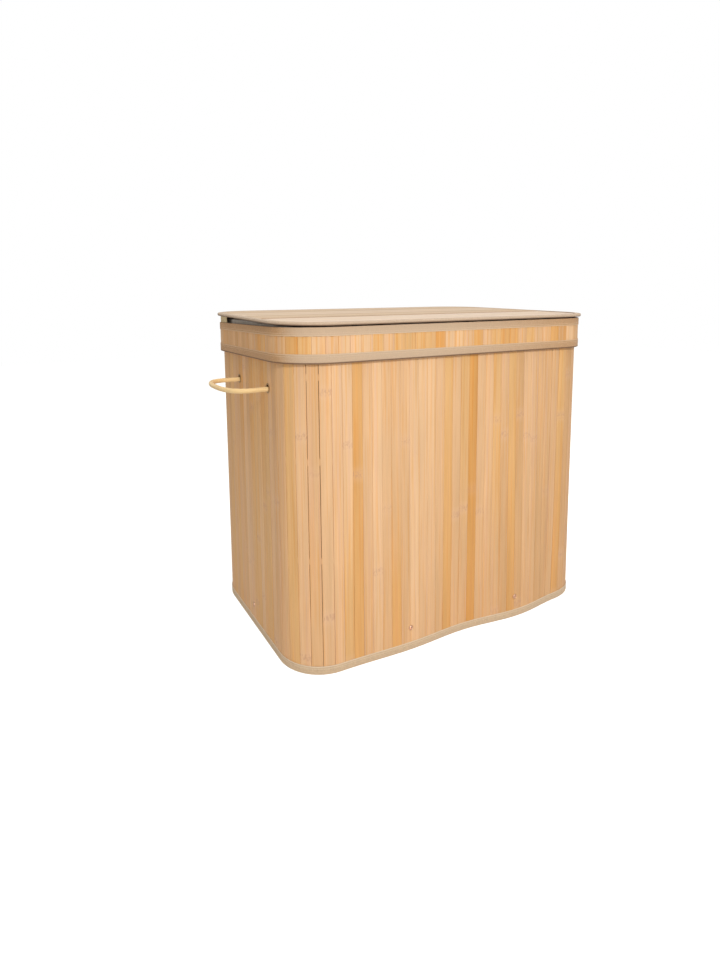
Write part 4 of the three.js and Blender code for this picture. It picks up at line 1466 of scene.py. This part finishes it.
@dataclass
class HingeCloth:
    """Cloth that joins the collar's back edge to the lid."""

    offset: float = 0.00375
    thickness: float = 0.0008
    low: float = 0.5921
    lid_gap: float = 0.00025
    back_run: float = 0.030
    slack: float = 0.0005
    steps: int = 6
    step_height: float = 0.0022
    collar_y: float = 0.2157
    lid_y: float = 0.2195

    def top(self, y: float) -> float:
        """Return the height of the cloth's upper edge at a place from front to back."""
        return under_lid(y) - self.lid_gap

    def stations(self) -> list[Station]:
        """Take the stations round the back, from the right side to the left.

        Returns:
            The stations.
        """
        start = OUTLINE.reach_y - self.back_run
        ends = [Station(sign * OUTLINE.half_length, start, sign, 0) for sign in (1, -1)]
        hair = 0.0001
        back = [s for s in OUTLINE.stations(30, 1, 12) if s.y > OUTLINE.reach_y - hair and s.out_y > -hair]
        return [ends[0], *back, ends[1]]

    def build(self, finishes: Finishes) -> None:
        """Build the strip, a little slack between its two seams.

        Args:
            finishes: The hamper's materials.
        """
        stations, rows = self.stations(), []
        for i, station in enumerate(stations):
            rise = self.top(station.y) - self.low
            middle = []
            for step in range(self.steps + 1):
                share = step / self.steps
                slack = self.slack * math.sin(math.pi * share) * math.sin(i * 1.7)
                middle.append(station.at(self.offset + slack, self.low + rise * share))
            out = Vector((station.out_x, station.out_y, 0)) * self.thickness / 2
            rows.append([point + out for point in middle] + [point - out for point in reversed(middle)])
        along = lengths_along([station.at(self.offset, 0) for station in stations])
        across = [step * self.step_height for step in range(self.steps + 1)]
        patch = Patch()
        patch.bar(rows, along, [*across, *across[::-1], across[0]])
        piece = patch.build("cloth_hinge", finishes.hinge)

        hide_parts("hinge_cloth")
        high = self.top(OUTLINE.half_depth)
        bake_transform(piece)
        LOG.info("%s bends between the collar and the lid", piece.name)


@dataclass
class Lid:
    """Lid of slats along its length, in two panels on a board, with a binding round its edge."""

    overhang: float = 0.01065
    thickness: float = 0.00615
    tape_width: float = 0.012
    tape_thickness: float = 0.0006
    skin: float = 0.00085
    slat_low: float = 0.0035
    slat_high: float = 0.0053
    slat_ease: float = 0.0003
    slats: int = 23
    steps: int = 12
    joint: float = 0.00015
    panel_joint: int = 8
    panel_step: float = 0.0003
    seam: float = 0.0009
    seam_rise: float = 0.0001
    ease: float = 0.0018
    foot_rise: float = 0.0006

    FRONT_TONES = {Tone.LID_PINK: 3, Tone.LID_PALE: 2}
    BACK_TONES = {Tone.LID_PALE: 1, Tone.LID_BEIGE: 4, Tone.LID_TAN: 2}

    @property
    def half_depth(self) -> float:
        """Return half of the lid's depth."""
        return OUTLINE.half_depth + self.overhang

    def tilt(self) -> Matrix:
        """Return the place of the lid, whose back lower edge is its own zero."""
        return Matrix.Translation((0, *LID_BACK)) @ Matrix.Rotation(LID_SLOPE, 4, "X")

    def reach(self, y: float) -> float:
        """Find how far the slats reach along the lid from its middle.

        Args:
            y: Place from front to back.

        Returns:
            The reach to each side.
        """
        radius = OUTLINE.radius + (self.overhang - self.skin)
        beyond = min(max(0.0, abs(y) - OUTLINE.reach_y), radius)
        return OUTLINE.reach_x + math.sqrt(radius ** 2 - beyond ** 2)

    def slat(self, patch: Patch, low: float, high: float, top: float, tone: Tone, seed: float) -> None:
        """Add one slat that runs along the lid.

        Args:
            patch: Patch that the slat goes to.
            low: Place of its front edge, from front to back.
            high: Place of its back edge.
            top: Height of its face over the lid's underside.
            tone: Its tone.
            seed: Seed of its grain.
        """
        tilt, ease = self.tilt(), self.slat_ease
        shares = (0.12, 0.25, 0.38, 0.5, 0.62, 0.75, 0.88)
        ys = [low, low + ease, *(low + (high - low) * share for share in shares), high - ease, high]
        section = [(y, top - (ease if y in (low, high) else 0.0)) for y in sorted(ys)]
        section += [(y, self.slat_low) for y in (high, (low + high) / 2, low)]
        spread = [2 * step / self.steps - 1 for step in range(self.steps + 1)]
        rows = [
            [tilt @ Vector((share * self.reach(y), y - self.half_depth, z)) for y, z in section]
            for share in spread
        ]
        along = [share * self.reach((low + high) / 2) for share in spread]
        across = [y for y, _ in section]
        patch.bar(rows, along, across + across[:1], seed, [tone.value] * len(along))

    def build(self, finishes: Finishes) -> None:
        """Build the slats and the binding.

        Args:
            finishes: The hamper's materials.
        """
        chance = random.Random("lid")
        tones = []
        counts = (self.panel_joint, self.slats - self.panel_joint)
        for share, count in zip((self.FRONT_TONES, self.BACK_TONES), counts):
            tones += chance.choices(list(share), weights=list(share.values()), k=count)
        patch = Patch()
        depth = self.half_depth
        edge = depth - self.skin
        for i, tone in enumerate(tones):
            joint = self.seam if i == self.panel_joint else self.joint
            low = max(-depth + 2 * depth * i / self.slats, -edge) + joint
            high = min(-depth + 2 * depth * (i + 1) / self.slats, edge) - self.joint
            top = self.slat_high + self.panel_step * (1 if i >= self.panel_joint else -1)
            self.slat(patch, low, high, top, tone, i * SEED_STEP + chance.random())
            if i == self.panel_joint:
                self.slat(patch, low - joint, low, top + self.seam_rise, Tone.LID_SEAM, 0.0)
        settle(patch.build("bamboo_lid", finishes.lid_bamboo), Body.LID, Slot.LID_BAMBOO, "lid_slats")
        settle(self.binding(finishes), Body.LID, Slot.TAPE, "lid_tape")

    def binding(self, finishes: Finishes) -> bpy.types.Object:
        """Make the tape folded round the lid's edge.

        Args:
            finishes: The hamper's materials.

        Returns:
            The tape.
        """
        half = self.tape_thickness / 2
        edge, inner, top = self.overhang - half, self.overhang - self.tape_width, self.thickness - half
        path = [(inner, top), (edge, top), (edge, half + self.foot_rise), (inner, half)]
        ring, places = thickened(rounded(path, self.ease), self.tape_thickness)
        patch = Patch()
        sweep(patch, OUTLINE.stations(20, 12, 12), ring, places)
        tilt = self.tilt()
        patch.points = [tilt @ (point - Vector((0, self.half_depth, 0))) for point in patch.points]
        return patch.build("binding_lid", finishes.lid_tape)


@dataclass
class Wires:
    """Round wires and the divider rod. A wire has its offset, height and radius."""

    rim: Point = (-0.0076, 0.57285, 0.002)
    base: Point = (-0.01402, 0.028, 0.0025)
    collar: Point = (-0.00085, 0.5890, 0.002)
    sides: int = 12
    rod_height: float = 0.5781
    rod_radius: float = 0.003
    rod_sides: int = 16
    rod_ease: float = 0.0008
    hook_outer: float = -0.00385
    hook_thickness: float = 0.0015
    hook_half: float = 0.003
    hook_gap: float = 0.00025
    hook_foot: float = 0.001

    def hoop(
        self, name: str, offset: float, height: float, radius: float, material: bpy.types.Material,
    ) -> bpy.types.Object:
        """Bend a wire round the wall's outline.

        Args:
            name: Name of the piece.
            offset: How far out from the wall its middle lies.
            height: Height of its middle.
            radius: Its radius.
            material: Its finish.

        Returns:
            The wire.
        """
        circle = turns(self.sides)
        ring = [(offset + radius * math.cos(turn), height + radius * math.sin(turn)) for turn in circle]
        patch = Patch()
        sweep(patch, OUTLINE.stations(1, 1, 12), ring, [radius * turn for turn in (*circle, 2 * math.pi)])
        return patch.build(name, material)

    def build(self, finishes: Finishes) -> None:
        """Build the three wires and the rod.

        Args:
            finishes: The hamper's materials.
        """
        for name, sizes, body in (
            ("rim", self.rim, Body.BASKET), ("base", self.base, Body.BASKET),
            ("collar", self.collar, Body.COLLAR),
        ):
            settle(self.hoop(f"wire_{name}", *sizes, finishes.steel), body, Slot.STEEL, f"{name}_wire")
        settle(self.rod(finishes), Body.BASKET, Slot.STEEL, "divider_rod")

    def rod(self, finishes: Finishes) -> bpy.types.Object:
        """Make the rod with a flattened hook over the rim wire at each end.

        Args:
            finishes: The hamper's materials.

        Returns:
            The rod.
        """
        patch = Patch()
        circle = turns(self.rod_sides)
        half = OUTLINE.half_depth + self.hook_outer - self.hook_thickness
        rows = []
        ends = ((-half, 0.8), (-half + self.rod_ease, 1.0), (half - self.rod_ease, 1.0), (half, 0.8))
        for y, share in ends:
            radius = self.rod_radius * share
            ring = [(radius * math.cos(turn), self.rod_height + radius * math.sin(turn)) for turn in circle]
            rows.append([Vector((x, y, z)) for x, z in ring])
        patch.bar(rows, [row[0].y for row in rows], [self.rod_radius * turn for turn in (*circle, 0.0)])

        offset, height, radius = self.rim
        bore = radius + self.hook_gap + self.hook_thickness / 2
        arch = [math.pi * step / 8 for step in range(9)]
        bend = [(offset - bore * math.cos(turn), height + bore * math.sin(turn)) for turn in arch]
        foot = height - self.hook_foot
        ring, places = thickened([(offset - bore, foot), *bend, (offset + bore, foot)], self.hook_thickness)
        for sign in (-1, 1):
            rows = [
                [Vector((x, sign * (OUTLINE.half_depth + out), z)) for out, z in ring]
                for x in (-self.hook_half, self.hook_half)
            ]
            patch.bar(rows, [0.0, 2 * self.hook_half], places)
        return patch.build("rod_divider", finishes.steel)


@dataclass
class Rivets:
    """Hollow rivets near the base."""

    height: float = 0.042
    left: float = -0.11333
    right: float = 0.13222
    head: float = 0.0045
    head_rise: float = 0.0015
    shank: float = 0.0015
    cap: float = 0.0035
    sides: int = 24

    def profile(self, back: float, front: float) -> list[Pair]:
        """Draw a rivet as radii and places out from the wall.

        Args:
            back: Where its cap ends inside the wall.
            front: Where its head ends outside.

        Returns:
            The profile, from the middle of the cap to the middle of the head.
        """
        face, head = front - self.head_rise, self.head
        return [
            (0.0, back), (self.cap, back), (self.cap, back + 0.0008), (self.shank, back + 0.001),
            (self.shank, face), (head, face), (head * 0.98, face + 0.0006), (head * 0.8, face + 0.0012),
            (head * 0.66, front), (head * 0.52, front - 0.0003), (head * 0.44, face + 0.0002),
            (0.0, face + 0.0001),
        ]

    def build(self, finishes: Finishes) -> None:
        """Build the six rivets, each as deep as the frame has it.

        Args:
            finishes: The hamper's materials.
        """
        half_x, half_y = OUTLINE.half_length, OUTLINE.half_depth
        spots = {
            "front_left": (self.left, -half_y, (0, -1)), "front_right": (self.right, -half_y, (0, -1)),
            "right": (half_x, 0.0, (1, 0)), "back_right": (-self.left, half_y, (0, 1)),
            "back_left": (-self.right, half_y, (0, 1)), "left": (-half_x, 0.0, (-1, 0)),
        }
        for name, (x, y, out) in spots.items():
            ends = [corner.x * out[0] + corner.y * out[1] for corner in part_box(f"rivet_{name}")]
            base = x * out[0] + y * out[1]
            profile = self.profile(min(ends) - base, max(ends) - base)
            patch = lathe(profile, on_wall(x, y, self.height, out), self.sides)
            piece = patch.build(f"rivet_head_{name}", finishes.coppered)
            settle(piece, Body.BASKET, Slot.STEEL, f"rivet_{name}")


@dataclass
class Handles:
    """Rope handles: eyelets, knotted ends inside, and the loop outside."""

    rope: float = 0.0044
    sides: int = 24
    relief: float = 0.00025
    lay: float = 0.013
    step: float = 0.0022
    height: float = 0.48335
    pivot: float = 0.00585
    reach: float = 0.074
    stub: float = 0.016
    blend_start: float = 0.0012
    blend_run: float = 0.004
    bore: float = 0.0063
    flange: float = 0.0089
    roll: float = 0.0003
    sheet: float = 0.0006
    inside: float = -0.0036
    face: float = 0.00025
    outside: float = 0.00085
    knot_inset: float = 0.01185
    knot_turn: float = 0.0054
    knot_run: float = 0.0034
    knot_rope: float = 0.0040
    knot_girth: float = 0.025
    knot_pace: float = 0.0017
    knot_steps: int = 48
    knot_sides: int = 10

    LOOP = (
        (0, 1), (0.25, 1.02), (0.55, 1), (0.82, 0.84), (0.97, 0.45), (1, 0),
        (0.97, -0.45), (0.82, -0.84), (0.55, -1), (0.25, -1.02), (0, -1),
    )

    def build(self, finishes: Finishes) -> None:
        """Build both handles.

        Args:
            finishes: The hamper's materials.
        """
        for side, sign in (("left", -1), ("right", 1)):
            for end, y in zip(("front", "back"), EYELET_SPOTS):
                self.eyelet(f"{side}_{end}", sign, y, finishes)
            self.loop(side, sign, finishes)

    def eyelet(self, name: str, sign: int, y: float, finishes: Finishes) -> None:
        """Build one eyelet with rolled flanges.

        Args:
            name: Its place by side and end.
            sign: -1 on the left side and 1 on the right.
            y: Its place from front to back.
            finishes: The hamper's materials.
        """
        bore, flange, roll, sheet = self.bore, self.flange, self.roll, self.sheet
        inside, outside, lip = self.inside, self.outside, 0.0001
        profile = [
            (bore, inside + roll), (bore + roll, inside), (flange - roll, inside), (flange, inside + roll),
            (flange - roll, inside + sheet), (bore + sheet, inside + sheet), (bore + sheet, self.face),
            (flange - roll, self.face), (flange, outside - roll), (flange - 0.0005, outside),
            (bore + 3 * roll, outside + lip), (bore + roll, outside - lip), (bore, outside - sheet),
            (bore, inside + roll),
        ]
        place = on_wall(sign * OUTLINE.half_length, y, EYELET_HEIGHT, (sign, 0))
        piece = lathe(profile, place, 32).build(f"eyelet_ring_{name}", finishes.brassed)
        settle(piece, Body.BASKET, Slot.STEEL, f"eyelet_{name}")

    def route(self, sign: int) -> list[Vector]:
        """Draw the rope's middle line, from one knot through the loop to the other.

        Args:
            sign: -1 on the left side and 1 on the right.

        Returns:
            Points of a smooth curve.
        """
        middle = sum(EYELET_SPOTS) / 2
        half = (EYELET_SPOTS[1] - EYELET_SPOTS[0]) / 2
        reach = self.reach - self.rope - self.pivot
        inside = [(-self.stub, 1), (-self.stub / 2, 1), (0.0, 1)]
        outside = [(self.pivot + reach * out, along) for out, along in self.LOOP]
        marks = [
            Vector((sign * (OUTLINE.half_length + out), middle + half * along, self.height))
            for out, along in [*inside, *outside, *((out, -along) for out, along in reversed(inside))]
        ]
        curve = []
        for i in range(len(marks) - 1):
            p0, p1 = marks[max(i - 1, 0)], marks[i]
            p2, p3 = marks[i + 1], marks[min(i + 2, len(marks) - 1)]
            steps = max(2, round((p2 - p1).length / self.step))
            for step in range(steps):
                t = step / steps
                curve.append(0.5 * (
                    2 * p1 + (p2 - p0) * t + (2 * p0 - 5 * p1 + 4 * p2 - p3) * t ** 2
                    + (3 * p1 - p0 - 3 * p2 + p3) * t ** 3
                ))
        curve.append(marks[-1])
        return curve

    def loop(self, side: str, sign: int, finishes: Finishes) -> None:
        """Build the rope with the slight relief of its three strands, and a knot at each end.

        Args:
            side: "left" or "right".
            sign: -1 on the left side and 1 on the right.
            finishes: The hamper's materials.
        """
        line = self.route(sign)
        lengths = lengths_along(line)
        up = Vector((0, 0, 1))
        rows = []
        for i, point in enumerate(line):
            way = (line[min(i + 1, len(line) - 1)] - line[max(i - 1, 0)]).normalized()
            beside = way.cross(up).normalized()
            row = []
            for turn in turns(self.sides):
                ridge = math.cos(3 * turn - 2 * math.pi * lengths[i] / self.lay)
                radius = self.rope - self.relief * (1 - ridge) / 2
                row.append(point + (beside * math.cos(turn) + up * math.sin(turn)) * radius)
            rows.append(row)
        patch = Patch()
        patch.bar(rows, lengths, [self.rope * turn for turn in (*turns(self.sides), 2 * math.pi)])
        for y in EYELET_SPOTS:
            self.knot(patch, sign, y)
        piece = patch.build(f"rope_{side}", finishes.rope, 70.0)

        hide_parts(f"rope_handle_{side}", f"rope_knot_{side}_front", f"rope_knot_{side}_back")
        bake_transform(piece)
        LOG.info("%s bends between the basket and its handle", piece.name)

    def knot(self, patch: Patch, sign: int, y: float) -> None:
        """Add a knot behind an eyelet: the rope's end wound round itself.

        Args:
            patch: The rope's patch.
            sign: -1 on the left side and 1 on the right.
            y: The eyelet's place from front to back.
        """
        middle = Vector((sign * (OUTLINE.half_length - self.knot_inset), y, self.height))
        axis = Vector((sign, 0, 0))
        rows = []
        for step in range(self.knot_steps + 1):
            share = step / self.knot_steps
            turn = 4 * math.pi * share
            out = Vector((0, math.cos(turn), math.sin(turn)))
            centre = middle + out * self.knot_turn + axis * (self.knot_run * (1 - 2 * share))
            rows.append([
                centre + (out * math.cos(angle) + axis * math.sin(angle)) * self.knot_rope
                for angle in turns(self.knot_sides)
            ])
        along = [self.knot_pace * step for step in range(self.knot_steps + 1)]
        patch.bar(rows, along, [self.knot_girth * j / self.knot_sides for j in range(self.knot_sides + 1)])


@dataclass
class Liners:
    """Two bags that hang from the rim and the divider rod."""

    floor: float = 0.03565
    mouth: float = 0.572
    shoulder: float = 0.504
    rings: int = 22
    low_fade: float = 0.05
    high_fade: float = 0.08
    side_inset: float = 0.0274
    front_inset: float = 0.01492
    mouth_inset: float = 0.0111
    inner_edge: float = 0.0045
    wall_start: float = 0.012
    divider_steps: int = 20
    cuff_top: float = 0.5855
    cuff_out: float = 0.0015
    cuff_foot: float = 0.559
    cuff_radius: float = 0.0012
    fold_inner: float = -0.0058
    fold_gap: float = 0.0030
    fold_top: float = 0.5985
    fold_sides: Pair = (0.2, 0.7)
    loose: float = 0.0007
    slack: float = 0.0032
    pleat: float = 0.088
    thickness: float = 0.0007
    strap_radius: float = 0.00355
    strap_high: float = 0.5781
    strap_low: float = 0.5481
    strap_half: float = 0.01
    strap_hem: float = 0.0003
    strap_thickness: float = 0.0006
    merge: float = 0.00001

    def insets(self, z: float) -> Pair:
        """Return how far in the bag hangs at a height, at the sides and at the front and back."""
        share, insets = eased(z, self.shoulder, self.mouth), (self.side_inset, self.front_inset)
        return tuple(inset + (self.mouth_inset - inset) * share for inset in insets)

    def build(self, finishes: Finishes) -> None:
        """Build both bags and their straps.

        Args:
            finishes: The hamper's materials.
        """
        for side, sign in (("left", -1), ("right", 1)):
            self.bag(side, sign, finishes)
        spots = {"right_front": -0.3, "left_front": -0.1, "right_back": 0.1, "left_back": 0.3}
        for owner, share in spots.items():
            self.strap(owner, share * OUTLINE.depth, finishes)

    def ring(self, sign: int) -> tuple[list[Station], int]:
        """Walk round one bag, first along the wall and then along the divider.

        Args:
            sign: -1 for the left bag and 1 for the right one.

        Returns:
            The stations, and how many of them lie on the hamper's wall.
        """
        near, half = sign * self.inner_edge, OUTLINE.half_depth
        wall = [s for s in OUTLINE.stations(26, 18, 10) if s.x * sign > self.wall_start]
        wall.sort(key=lambda s: math.atan2(s.x * sign, s.y))
        wall = [Station(near, half, 0, 1), *wall, Station(near, -half, 0, -1)]
        steps = self.divider_steps
        divider = [Station(near, -half + OUTLINE.depth * i / steps, -sign, 0) for i in range(1, steps)]
        return wall + divider, len(wall)

    def bag(self, side: str, sign: int, finishes: Finishes) -> None:
        """Build one bag with soft folds, and its cuff over the rim.

        Args:
            side: "left" or "right".
            sign: -1 for the left bag and 1 for the right one.
            finishes: The hamper's materials.
        """
        stations, on_wall_count = self.ring(sign)
        spots = [station.at(0, 0) for station in stations]
        along = lengths_along([*spots, spots[0]])
        levels = [self.floor + (self.mouth - self.floor) * (i / self.rings) for i in range(self.rings + 1)]
        rows = []
        for z in levels:
            side_inset, front_inset = self.insets(z)
            fade = (min((z - self.floor) / self.low_fade, 1.0), min((self.mouth - z) / self.high_fade, 1.0))
            row = []
            for i, station in enumerate(stations):
                fold = self.fold(along[i], z, side) * fade[0] * fade[1]
                if i < on_wall_count:
                    x = station.x - station.out_x * (side_inset + fold)
                    y = station.y - station.out_y * (front_inset + fold)
                    row.append(Vector((x, y, z)))
                    continue
                share = abs(station.y) / OUTLINE.half_depth
                y = station.y * (1 - front_inset / OUTLINE.half_depth)
                row.append(Vector((station.x + sign * fold * (1 - share ** 4), y, z)))
            rows.append(row)
        patch = Patch()
        patch.grid(rows, [z - self.floor for z in levels], along)
        self.bottom(patch, rows[0])
        self.cuff(patch, stations[:on_wall_count], along)
        piece = patch.build(f"liner_{side}", finishes.linen, 60.0)
        face_outward(piece.data, self.merge)
        thicken(piece, self.thickness)
        settle(piece, Body.BASKET, Slot.LINER, f"liner_bag_{side}")

    def fold(self, along: float, z: float, side: str) -> float:
        """Find how deep the cloth's folds are at a place, always inward.

        Args:
            along: Length round the bag.
            z: Height.
            side: "left" or "right".

        Returns:
            The depth.
        """
        far = 0.0 if side == "left" else 40.0
        drift = noise.noise(Vector((along * 5.0 + far, z * 2.5, 1.7))) * 2.2
        pleat = math.sin(along / self.pleat * 2 * math.pi + drift)
        crumple = noise.noise(Vector((along * 22.0 + far, z * 13.0, 4.4)))
        return self.slack * (0.5 + 0.34 * pleat + 0.3 * crumple)

    def bottom(self, patch: Patch, edge: Sequence[Vector]) -> None:
        """Add the bag's flat bottom.

        Args:
            patch: The bag's patch.
            edge: Its lowest ring of points.
        """
        centre, width = sum(edge, Vector()) / len(edge), len(edge)
        rings = []
        for share in (1.0, 0.75, 0.5, 0.25):
            first = len(patch.points)
            patch.points += [centre.lerp(point, share) for point in edge]
            rings.append([first + j for j in range(width)])
        faces = [
            (outer[j], outer[(j + 1) % width], inner[(j + 1) % width], inner[j])
            for outer, inner in zip(rings, rings[1:]) for j in range(width)
        ]
        for corners in [*faces, rings[-1]]:
            patch.add_face(corners, [tuple(patch.points[k].xy) for k in corners])

    def cuff(self, patch: Patch, stations: Sequence[Station], along: Sequence[float]) -> None:
        """Add the cuff, from the bag's mouth over the rim and down outside it.

        At the short sides the cloth stands up in a loose fold inside the rim, under the lid.

        Args:
            patch: The bag's patch.
            stations: The bag's stations on the wall.
            along: Length round the bag at each of them.
        """
        paths = []
        for station, length in zip(stations, along):
            loose = self.loose * noise.noise(Vector((length * 30.0, 0.3, 0.9)))
            top = min(under_lid(station.y) - self.fold_gap, self.fold_top) + loose
            top = self.cuff_top + (top - self.cuff_top) * eased(abs(station.out_x), *self.fold_sides)
            paths.append(rounded([
                (-self.mouth_inset, self.mouth), (-self.mouth_inset, top), (self.fold_inner + loose, top),
                (self.fold_inner, self.cuff_top + 0.0001), (self.cuff_out, self.cuff_top),
                (self.cuff_out, self.cuff_foot),
            ], self.cuff_radius))
        rows = [[station.at(offset, z) for offset, z in path] for station, path in zip(stations, paths)]
        patch.grid(rows, along[:len(rows)], lengths_along(paths[0]))

    def strap(self, owner: str, y: float, finishes: Finishes) -> None:
        """Build a touch-fastened strap round the divider rod.

        Args:
            owner: The bag and the end that it belongs to.
            y: Its place from front to back.
            finishes: The hamper's materials.
        """
        path = []
        for sign, height in ((1, self.strap_high), (-1, self.strap_low)):
            for turn in (math.pi * i / 10 for i in range(11)):
                radius = sign * self.strap_radius
                path.append((radius * math.cos(turn), height + radius * math.sin(turn)))
        half, hem = self.strap_half, self.strap_half - self.strap_hem
        places = [-half, -hem, hem, half]
        patch = Patch()
        rows = [[Vector((x, y + place, z)) for x, z in path] for place in places]
        patch.grid(rows, places, lengths_along(path + path[:1]))
        piece = patch.build(f"strap_{owner}", finishes.linen, 60.0)
        thicken(piece, self.strap_thickness)
        settle(piece, Body.BASKET, Slot.LINER, f"liner_strap_{owner}")


@dataclass(frozen=True)
class Lamp:
    """A square soft lamp that faces a point."""

    name: str
    place: Point
    target: Point
    size: float
    power: float
    tint: Point = (1.0, 1.0, 1.0)

    def hang(self) -> None:
        """Add the lamp to the scene."""
        light = bpy.data.lights.new(self.name, "AREA")
        light.size, light.energy, light.color = self.size, self.power, self.tint
        lamp = placed(self.name, light)
        lamp.location = self.place
        lamp.rotation_mode = "QUATERNION"
        lamp.rotation_quaternion = (Vector(self.target) - Vector(self.place)).to_track_quat("-Z", "Y")


@dataclass
class Studio:
    """Pale floor, soft lamps and the camera that looks at the front left corner.

    Angles are in degrees, and the focal length and the centre in pixels.
    """

    eye: Point = (-0.693, -1.070, 0.634)
    yaw: float = 27.19
    pitch: float = 6.69
    roll: float = -0.8
    focal: float = 597.9
    centre: Pair = (338.0, 370.3)
    width: int = 720
    height: int = 960
    sensor: float = 36.0
    floor_size: float = 6.0
    floor_drop: float = 0.0004
    floor_colour: Colour = shade(226, 224, 222)
    floor_glow: float = 0.72
    sky_colour: Colour = (1, 0.97, 0.90, 1)
    sky_strength: float = 0.45

    LAMPS = (
        Lamp("Key", (-0.6, -2.35, 1.85), (0.05, 0, 0.3), 0.5, 34.0),
        Lamp("Top", (0.2, -0.2, 3.2), (0, 0, 0.4), 2.4, 34.0),
        Lamp("Side", (-2.3, -0.4, 0.35), (-0.34, 0, 0.1), 0.8, 1.5, (1, 0.92, 0.78)),
    )

    def camera(self) -> None:
        """Place the camera."""
        yaw, pitch, roll = (math.radians(value) for value in (self.yaw, self.pitch, self.roll))
        ahead = Vector((math.sin(yaw) * math.cos(pitch), math.cos(yaw) * math.cos(pitch), -math.sin(pitch)))
        level = Vector((math.cos(yaw), -math.sin(yaw), 0))
        upright = level.cross(ahead)
        right = level * math.cos(roll) + upright * math.sin(roll)
        up = -level * math.sin(roll) + upright * math.cos(roll)
        lens = bpy.data.cameras.new("Camera")
        lens.sensor_width = self.sensor
        lens.lens = self.focal * self.sensor / self.height
        lens.shift_x = (self.width / 2 - self.centre[0]) / self.height
        lens.shift_y = (self.centre[1] - self.height / 2) / self.height
        lens.clip_start = 0.01
        camera = placed("Camera", lens)
        camera.matrix_world = Matrix.Translation(self.eye) @ Matrix((right, up, -ahead)).transposed().to_4x4()
        bpy.context.scene.camera = camera

    def floor(self) -> None:
        """Lay the floor, white to the camera but for the hamper's shadow."""
        mesh = bpy.data.meshes.new("Floor")
        size = self.floor_size
        corners = [(-size, -size, 0), (size, -size, 0), (size, size, 0), (-size, size, 0)]
        mesh.from_pydata(corners, [], [(0, 1, 2, 3)])
        nodes = Surface("Pale floor", Base_Color=self.floor_colour, Roughness=0.9)
        seen = nodes.add("ShaderNodeLightPath").outputs["Is Camera Ray"]
        glow = nodes.add("ShaderNodeEmission", {"Color": WHITE, "Strength": self.floor_glow}).outputs[0]
        dark = nodes.add("ShaderNodeEmission", {"Color": BLACK, "Strength": 0.0}).outputs[0]
        extra = nodes.add("ShaderNodeMixShader", {0: seen, 1: dark, 2: glow}).outputs[0]
        both = nodes.add("ShaderNodeAddShader", {0: nodes.shader.outputs[0], 1: extra}).outputs[0]
        nodes.feed(nodes.output.inputs["Surface"], both)
        mesh.materials.append(nodes.material)
        floor = placed("Floor", mesh)
        floor.location.z = -self.floor_drop

    def sky(self) -> None:
        """Light the scene evenly, with white behind it for the camera."""
        world = bpy.data.worlds.new("Studio")
        world.use_nodes = True
        world.node_tree.nodes.clear()
        nodes = Nodes(world.node_tree)
        seen = nodes.add("ShaderNodeLightPath").outputs["Is Camera Ray"]
        soft = nodes.add("ShaderNodeBackground", {"Color": self.sky_colour, "Strength": self.sky_strength})
        white = nodes.add("ShaderNodeBackground", {"Color": WHITE, "Strength": 1.0})
        both = nodes.add("ShaderNodeMixShader", {0: seen, 1: soft.outputs[0], 2: white.outputs[0]})
        nodes.add("ShaderNodeOutputWorld", {"Surface": both.outputs[0]})
        bpy.context.scene.world = world

    def build(self) -> None:
        """Set up the whole studio."""
        bpy.context.scene.view_settings.view_transform = "Standard"
        self.camera()
        self.floor()
        self.sky()
        for lamp in self.LAMPS:
            lamp.hang()


def dress(frame: dict, finishes: Finishes) -> None:
    """Give the frame's own shown pieces their finishes.

    Args:
        frame: The loaded frame.
        finishes: The hamper's materials.
    """
    chosen = {
        "backing_cloth": finishes.backing, "collar_backing_cloth": finishes.backing,
        "base_board": finishes.board, "lid_board": finishes.board,
    }
    for name, node in frame["nodes"].items():
        if name.startswith("wire_loop"):
            chosen[name] = finishes.loop
        if name in chosen:
            node.data.materials.clear()
            node.data.materials.append(chosen[name])


def main() -> None:
    """Build the hamper's looks and the studio round the frame."""
    logging.basicConfig(level=logging.INFO, format="%(message)s")
    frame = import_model()
    Studio().build()
    finishes = Finishes()
    bindings = Bindings()
    Curtain().build(finishes)
    bindings.build(finishes)
    Collar().build(finishes, bindings)
    for assembly in (HingeCloth(), Lid(), Wires(), Rivets(), Handles(), Liners()):
        assembly.build(finishes)
    dress(frame, finishes)


if __name__ == "__main__":
    main()
